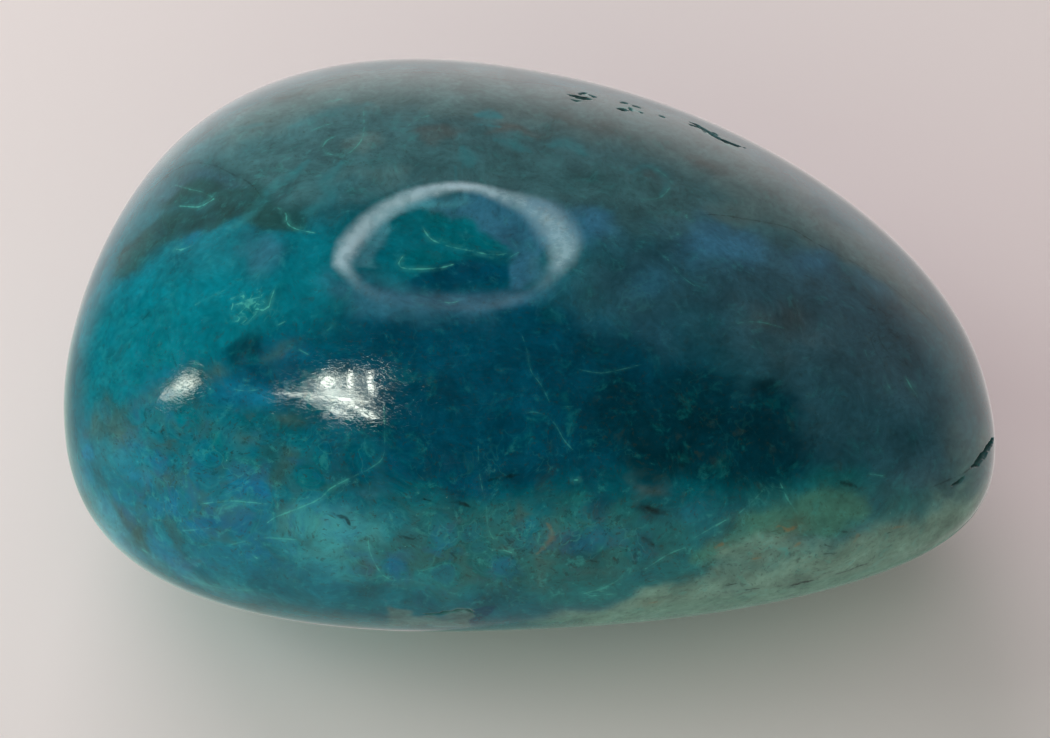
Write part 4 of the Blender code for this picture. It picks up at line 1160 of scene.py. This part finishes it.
    # gloss: fine scratches in the polish, satin on the worn band, dull in the fissures
    scratch = addNode(tree, noiseNode, {"Vector": place, "Scale": 1 / look["scratchSize"], "Detail": 4.0,
                                        "Roughness": 0.6})
    gloss = addNode(tree, rangeNode, [scratch, *look["scratchRange"], look["gloss"], look["scratched"]])
    strokes = 0.0
    for turn, length, width in look["strokes"]:
        drawn = addNode(tree, "ShaderNodeMapping", {
            "Vector": place, "Rotation": (0.0, 0.0, math.radians(turn)), "Scale": (length, width, width)},
            vector_type="TEXTURE")
        drawn = addNode(tree, noiseNode, {"Vector": drawn, "Scale": 1.0, "Detail": 2.0})
        drawn = addNode(tree, rangeNode, [drawn, *look["strokeRange"]])
        strokes = addNode(tree, "MAXIMUM", [drawn, strokes])
    gloss = addNode(tree, "MULTIPLY_ADD", [strokes, look["strokeGloss"], gloss])
    for mask, name in ((seams["worn"], "worn"), (bare, "bare")):
        gloss = addNode(tree, mixNode, {"Factor": mask, "A": gloss, "B": look[name]})
    tree.links.new(gloss, shader.inputs["Roughness"])
    shader.inputs["IOR"].default_value = look["ior"]
    wave = addNode(tree, noiseNode, {"Vector": place, "Scale": 1 / look["waveSize"], "Detail": 1.0})
    bumps = addNode(tree, "ShaderNodeBump", {"Height": wave, "Distance": look["waveDepth"] * mm})
    for height, depth in ((scratch, look["scratchDepth"]), (strokes, look["strokeDepth"])):
        bumps = addNode(tree, "ShaderNodeBump", {"Height": height, "Distance": depth * mm, "Normal": bumps})
    tree.links.new(bumps, shader.inputs["Normal"])
    return made


stone.data.materials.clear()
stone.data.materials.append(stoneMaterial())
print("material made")


# Studio: pale paper under a soft key from behind and to the left, in a room that is dark above and in front
studio = {
    "floorSize": 1.6,           # m
    "floorColour": "#e9e4e2",
    "paperRoughness": 0.7,
    "paperSheen": 0.1,
    "roomColour": "#f1e6e3",
    "backWall": 0.27,           # brightness of the wall behind
    "backGlow": 0.75,           # and more of it just above the table
    "tableShade": 0.27,         # the table in the stone's own shade
    "tableFar": 0.95,           # and behind the stone
    "tableBand": 0.45,          # more of it towards the horizon
    "tableLeft": 0.27,          # and in front of it to the left, greener there
    "leftColour": "#dcebde",
    "leftBand": 0.24,           # a pale band beyond it, far to the left
    "windowDistance": 0.8,      # m from the stone
    "windowColour": "#f4fbec",
    "shadeMiddle": (0.012, -0.004),     # the table under the stone, which lies in its shade
    "shadeSize": (0.026, 0.022),
    "shadeHeight": 0.0002,
    "shadeColour": "#778a80",
}
# Soft lights: (towards, distance in m, size in m, power in W, colour)
softLights = {
    "softKey": ((-0.35, 0.80, 0.50), 0.6, (0.50, 0.40), 2.27, "#ffedf3"),
    "roomFill": ((-0.1, -0.1, 1.0), 1.2, (1.4, 1.2), 3.95, "#ffe9f1"),
    "leftFill": ((-1.0, 0.1, 0.3), 0.9, (0.80, 0.50), 5.87, "#f7fff7"),
    "leftFrontFill": ((-0.9, -0.45, 0.30), 0.9, (0.80, 0.50), 2.14, "#c5ffea"),
    "frontFill": ((-0.1, -0.9, 0.35), 0.9, (1.2, 0.5), 3.92, "#fdfff1"),
}
# Windows that the gloss mirrors: (x, y, half width, half height) in the photograph's pixels, turn in degrees
# anticlockwise, and brightness
windows = {
    "pane": (325, 384, 8, 8, 0, 20),
    "paneGlow": (327, 385, 14, 11, 0, 5),
    "paneTail": (336, 394, 15, 4, -20, 8),
    "barOne": (352, 383, 2.4, 13, 0, 30),
    "barTwo": (370, 383, 2.4, 14, 0, 30),
    "sill": (334, 399, 34, 2.4, -4, 16),
    "streakOne": (291, 393, 22, 1.6, 0, 12),
    "streakTwo": (340, 413, 13, 1.7, -34, 18),
    "streakThree": (349, 405, 8, 1.5, -30, 18),
    "streakFour": (365, 415, 14, 1.9, -35, 22),
    "haze": (338, 389, 40, 20, -6, 2.4),
    "hazeBelow": (350, 404, 27, 11, -28, 1.5),
    "sideWindow": (178, 388, 22, 7, 27, 8),
    "sidePane": (187, 382, 12, 6, 20, 8),
}


def makeFloor():
    data = bpy.data.meshes.new("floor")
    half = studio["floorSize"] / 2
    corners = [(-half, -half, 0), (half, -half, 0), (half, half, 0), (-half, half, 0)]
    data.from_pydata(corners, [], [(0, 1, 2, 3)])
    floor = bpy.data.objects.new("floor", data)
    bpy.context.scene.collection.objects.link(floor)
    floor.visible_glossy = False
    paper = bpy.data.materials.new("mattPaper")
    paper.use_nodes = True
    shader = paper.node_tree.nodes["Principled BSDF"]
    shader.inputs["Base Color"].default_value = linearColour(studio["floorColour"])
    shader.inputs["Roughness"].default_value = studio["paperRoughness"]
    shader.inputs["Specular IOR Level"].default_value = studio["paperSheen"]
    data.materials.append(paper)


def makeShade():
    # only the gloss sees it: the stone's lower edge mirrors this darker patch of the table
    patch = bmesh.new()
    bmesh.ops.create_circle(patch, cap_ends=True, segments=48, radius=1.0)
    across, deep = studio["shadeSize"]
    bmesh.ops.scale(patch, vec=(across, deep, 1), verts=patch.verts)
    bmesh.ops.translate(patch, vec=(*studio["shadeMiddle"], studio["shadeHeight"]), verts=patch.verts)
    data = bpy.data.meshes.new("tableShade")
    patch.to_mesh(data)
    patch.free()
    shade = bpy.data.objects.new("tableShade", data)
    bpy.context.scene.collection.objects.link(shade)
    for kind in ("camera", "diffuse", "transmission", "volume_scatter", "shadow"):
        setattr(shade, "visible_" + kind, False)
    dim = bpy.data.materials.new("shadedPaper")
    dim.use_nodes = True
    dim.node_tree.nodes.clear()
    glow = addNode(dim.node_tree, "ShaderNodeEmission", {"Color": linearColour(studio["shadeColour"])})
    dim.node_tree.links.new(glow, dim.node_tree.nodes.new("ShaderNodeOutputMaterial").inputs[0])
    data.materials.append(dim)


def makeWorld():
    # what the stone mirrors: a wall behind, a glow above the far table edge, and the table itself. Each part
    # has its direction, the cosines to it between which it fades, and its value at the first and the second.
    world = bpy.data.worlds.new("room")
    bpy.context.scene.world = world
    world.use_nodes = True
    tree = world.node_tree
    tree.nodes.clear()
    ways = addNode(tree, "ShaderNodeTexCoord", give="Generated")
    height = addNode(tree, splitNode, [ways], 2)
    parts = {}
    for name, towards, start, end, low, high in (
            ("wall", (0.30, 0.93, 0.20), 0.2, 0.6, 0.0, studio["backWall"]),
            ("glow", (0.29, 0.96, 0.0), 0.6, 1.0, 0.0, studio["backGlow"]),
            ("high", (0.0, 0.0, 1.0), 0.45, 0.85, 1.0, 0.0),
            ("low", (0.0, 0.0, 1.0), 0.1, 0.45, 1.0, 0.0),
            ("far", (0.35, 0.94, 0.0), 0.15, 0.7, studio["tableShade"], studio["tableFar"]),
            ("left", (-0.35, 0.10, -0.93), 0.88, 0.97, 0.0, studio["tableLeft"]),
            ("edge", (-0.45, 0.40, -0.80), 0.93, 0.99, 0.0, studio["tableLeft"]),
            ("band", (-0.36, 0.88, -0.31), 0.95, 0.99, 0.0, studio["leftBand"]),
            ("aside", (-0.94, 0.33, 0.0), 0.88, 0.985, 1.0, 0.1),
            ("middle", (0.26, 0.966, 0.0), 0.80, 0.95, 0.0, studio["tableBand"]),
            ("level", (0.0, 0.0, 1.0), -0.45, -0.12, 0.0, 1.0),
            ("under", (0.0, 0.0, 1.0), -0.1, 0.3, 1.0, 0.0)):
        facing = addNode(tree, vectorNode, [ways, towards], 1, operation="DOT_PRODUCT")
        parts[name] = addNode(tree, rangeNode, [facing, start, end, low, high], **smooth)
    above = addNode(tree, "MULTIPLY", [parts["wall"], parts["high"]])
    above = addNode(tree, "MULTIPLY_ADD", [parts["glow"], parts["low"], above])
    left = addNode(tree, "ADD", [parts["left"], parts["edge"]])
    tint = addNode(tree, "DIVIDE", [left, studio["tableLeft"]], use_clamp=True)
    room, leaf = [linearColour(studio[name])[:3] for name in ("roomColour", "leftColour")]
    tint = addNode(tree, mixNode, {"Factor": tint, "A": room, "B": leaf}, "Result", data_type="VECTOR")
    table = addNode(tree, "ADD", [parts["far"], left])
    table = addNode(tree, "ADD", [table, parts["band"]])
    table = addNode(tree, "MULTIPLY", [table, parts["aside"]])
    table = addNode(tree, "MULTIPLY_ADD", [parts["middle"], parts["level"], table])
    bright = addNode(tree, mixNode, {"Factor": parts["under"], "A": above, "B": table})
    glowing = addNode(tree, "ShaderNodeBackground", {"Color": tint, "Strength": bright})
    tree.links.new(glowing, tree.nodes.new("ShaderNodeOutputWorld").inputs[0])


def makeLight(name, place, facing, across, size, power, colour="#ffffff", shape="RECTANGLE"):
    # an area light at a place that shines along -facing, its width along across
    data = bpy.data.lights.new(name, "AREA")
    data.shape = shape
    data.size, data.size_y = size
    data.energy = power
    data.color = linearColour(colour)[:3]
    made = bpy.data.objects.new(name, data)
    bpy.context.scene.collection.objects.link(made)
    back = Vector(facing).normalized()
    side = (Vector(across) - back * back.dot(Vector(across))).normalized()
    made.matrix_world = Matrix((side, back.cross(side), back)).transposed().to_4x4()
    made.location = place
    return made


def softLight(name, towards, distance, size, power, colour):
    # lights the stone and the table but isn't mirrored
    way = Vector(towards).normalized()
    made = makeLight(name, way * distance, way, (1, 0, 0), size, power, colour)
    made.visible_glossy = False


def mirroredWay(px, py):
    # the way from the stone to what it mirrors at a pixel of the photograph
    spot, normal = onStone(px, py)
    sight = (spot - camera.location).normalized()
    return spot + (sight - normal * (2 * sight.dot(normal))) * studio["windowDistance"]


def windowLight(name, px, py, halfWidth, halfHeight, turn, brightness):
    # a bright pane that the gloss shows at a pixel, at that size; the stone's shade stays without it
    middle = mirroredWay(px, py)
    c, s = math.cos(math.radians(turn)), math.sin(math.radians(turn))
    across, rise = [(mirroredWay(px + dx, py + dy) - mirroredWay(px - dx, py - dy)) / 2
                    for dx, dy in ((halfWidth * c, -halfWidth * s), (halfHeight * s, halfHeight * c))]
    outward = across.cross(rise)
    if outward.dot(middle) < 0:
        outward.negate()
    size = (across.length * 2, rise.length * 2)
    power = brightness * math.pi * math.pi / 4 * size[0] * size[1]     # pi times an oval's area
    made = makeLight(name, middle, outward, across, size, power, studio["windowColour"], "ELLIPSE")
    made.visible_diffuse = False


makeFloor()
makeShade()
makeWorld()
for name, light in softLights.items():
    softLight(name, *light)
for name, window in windows.items():
    windowLight(name, *window)
bpy.context.scene.view_settings.view_transform = "Standard"
print("studio set")

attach(stone, "root")
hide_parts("stone")
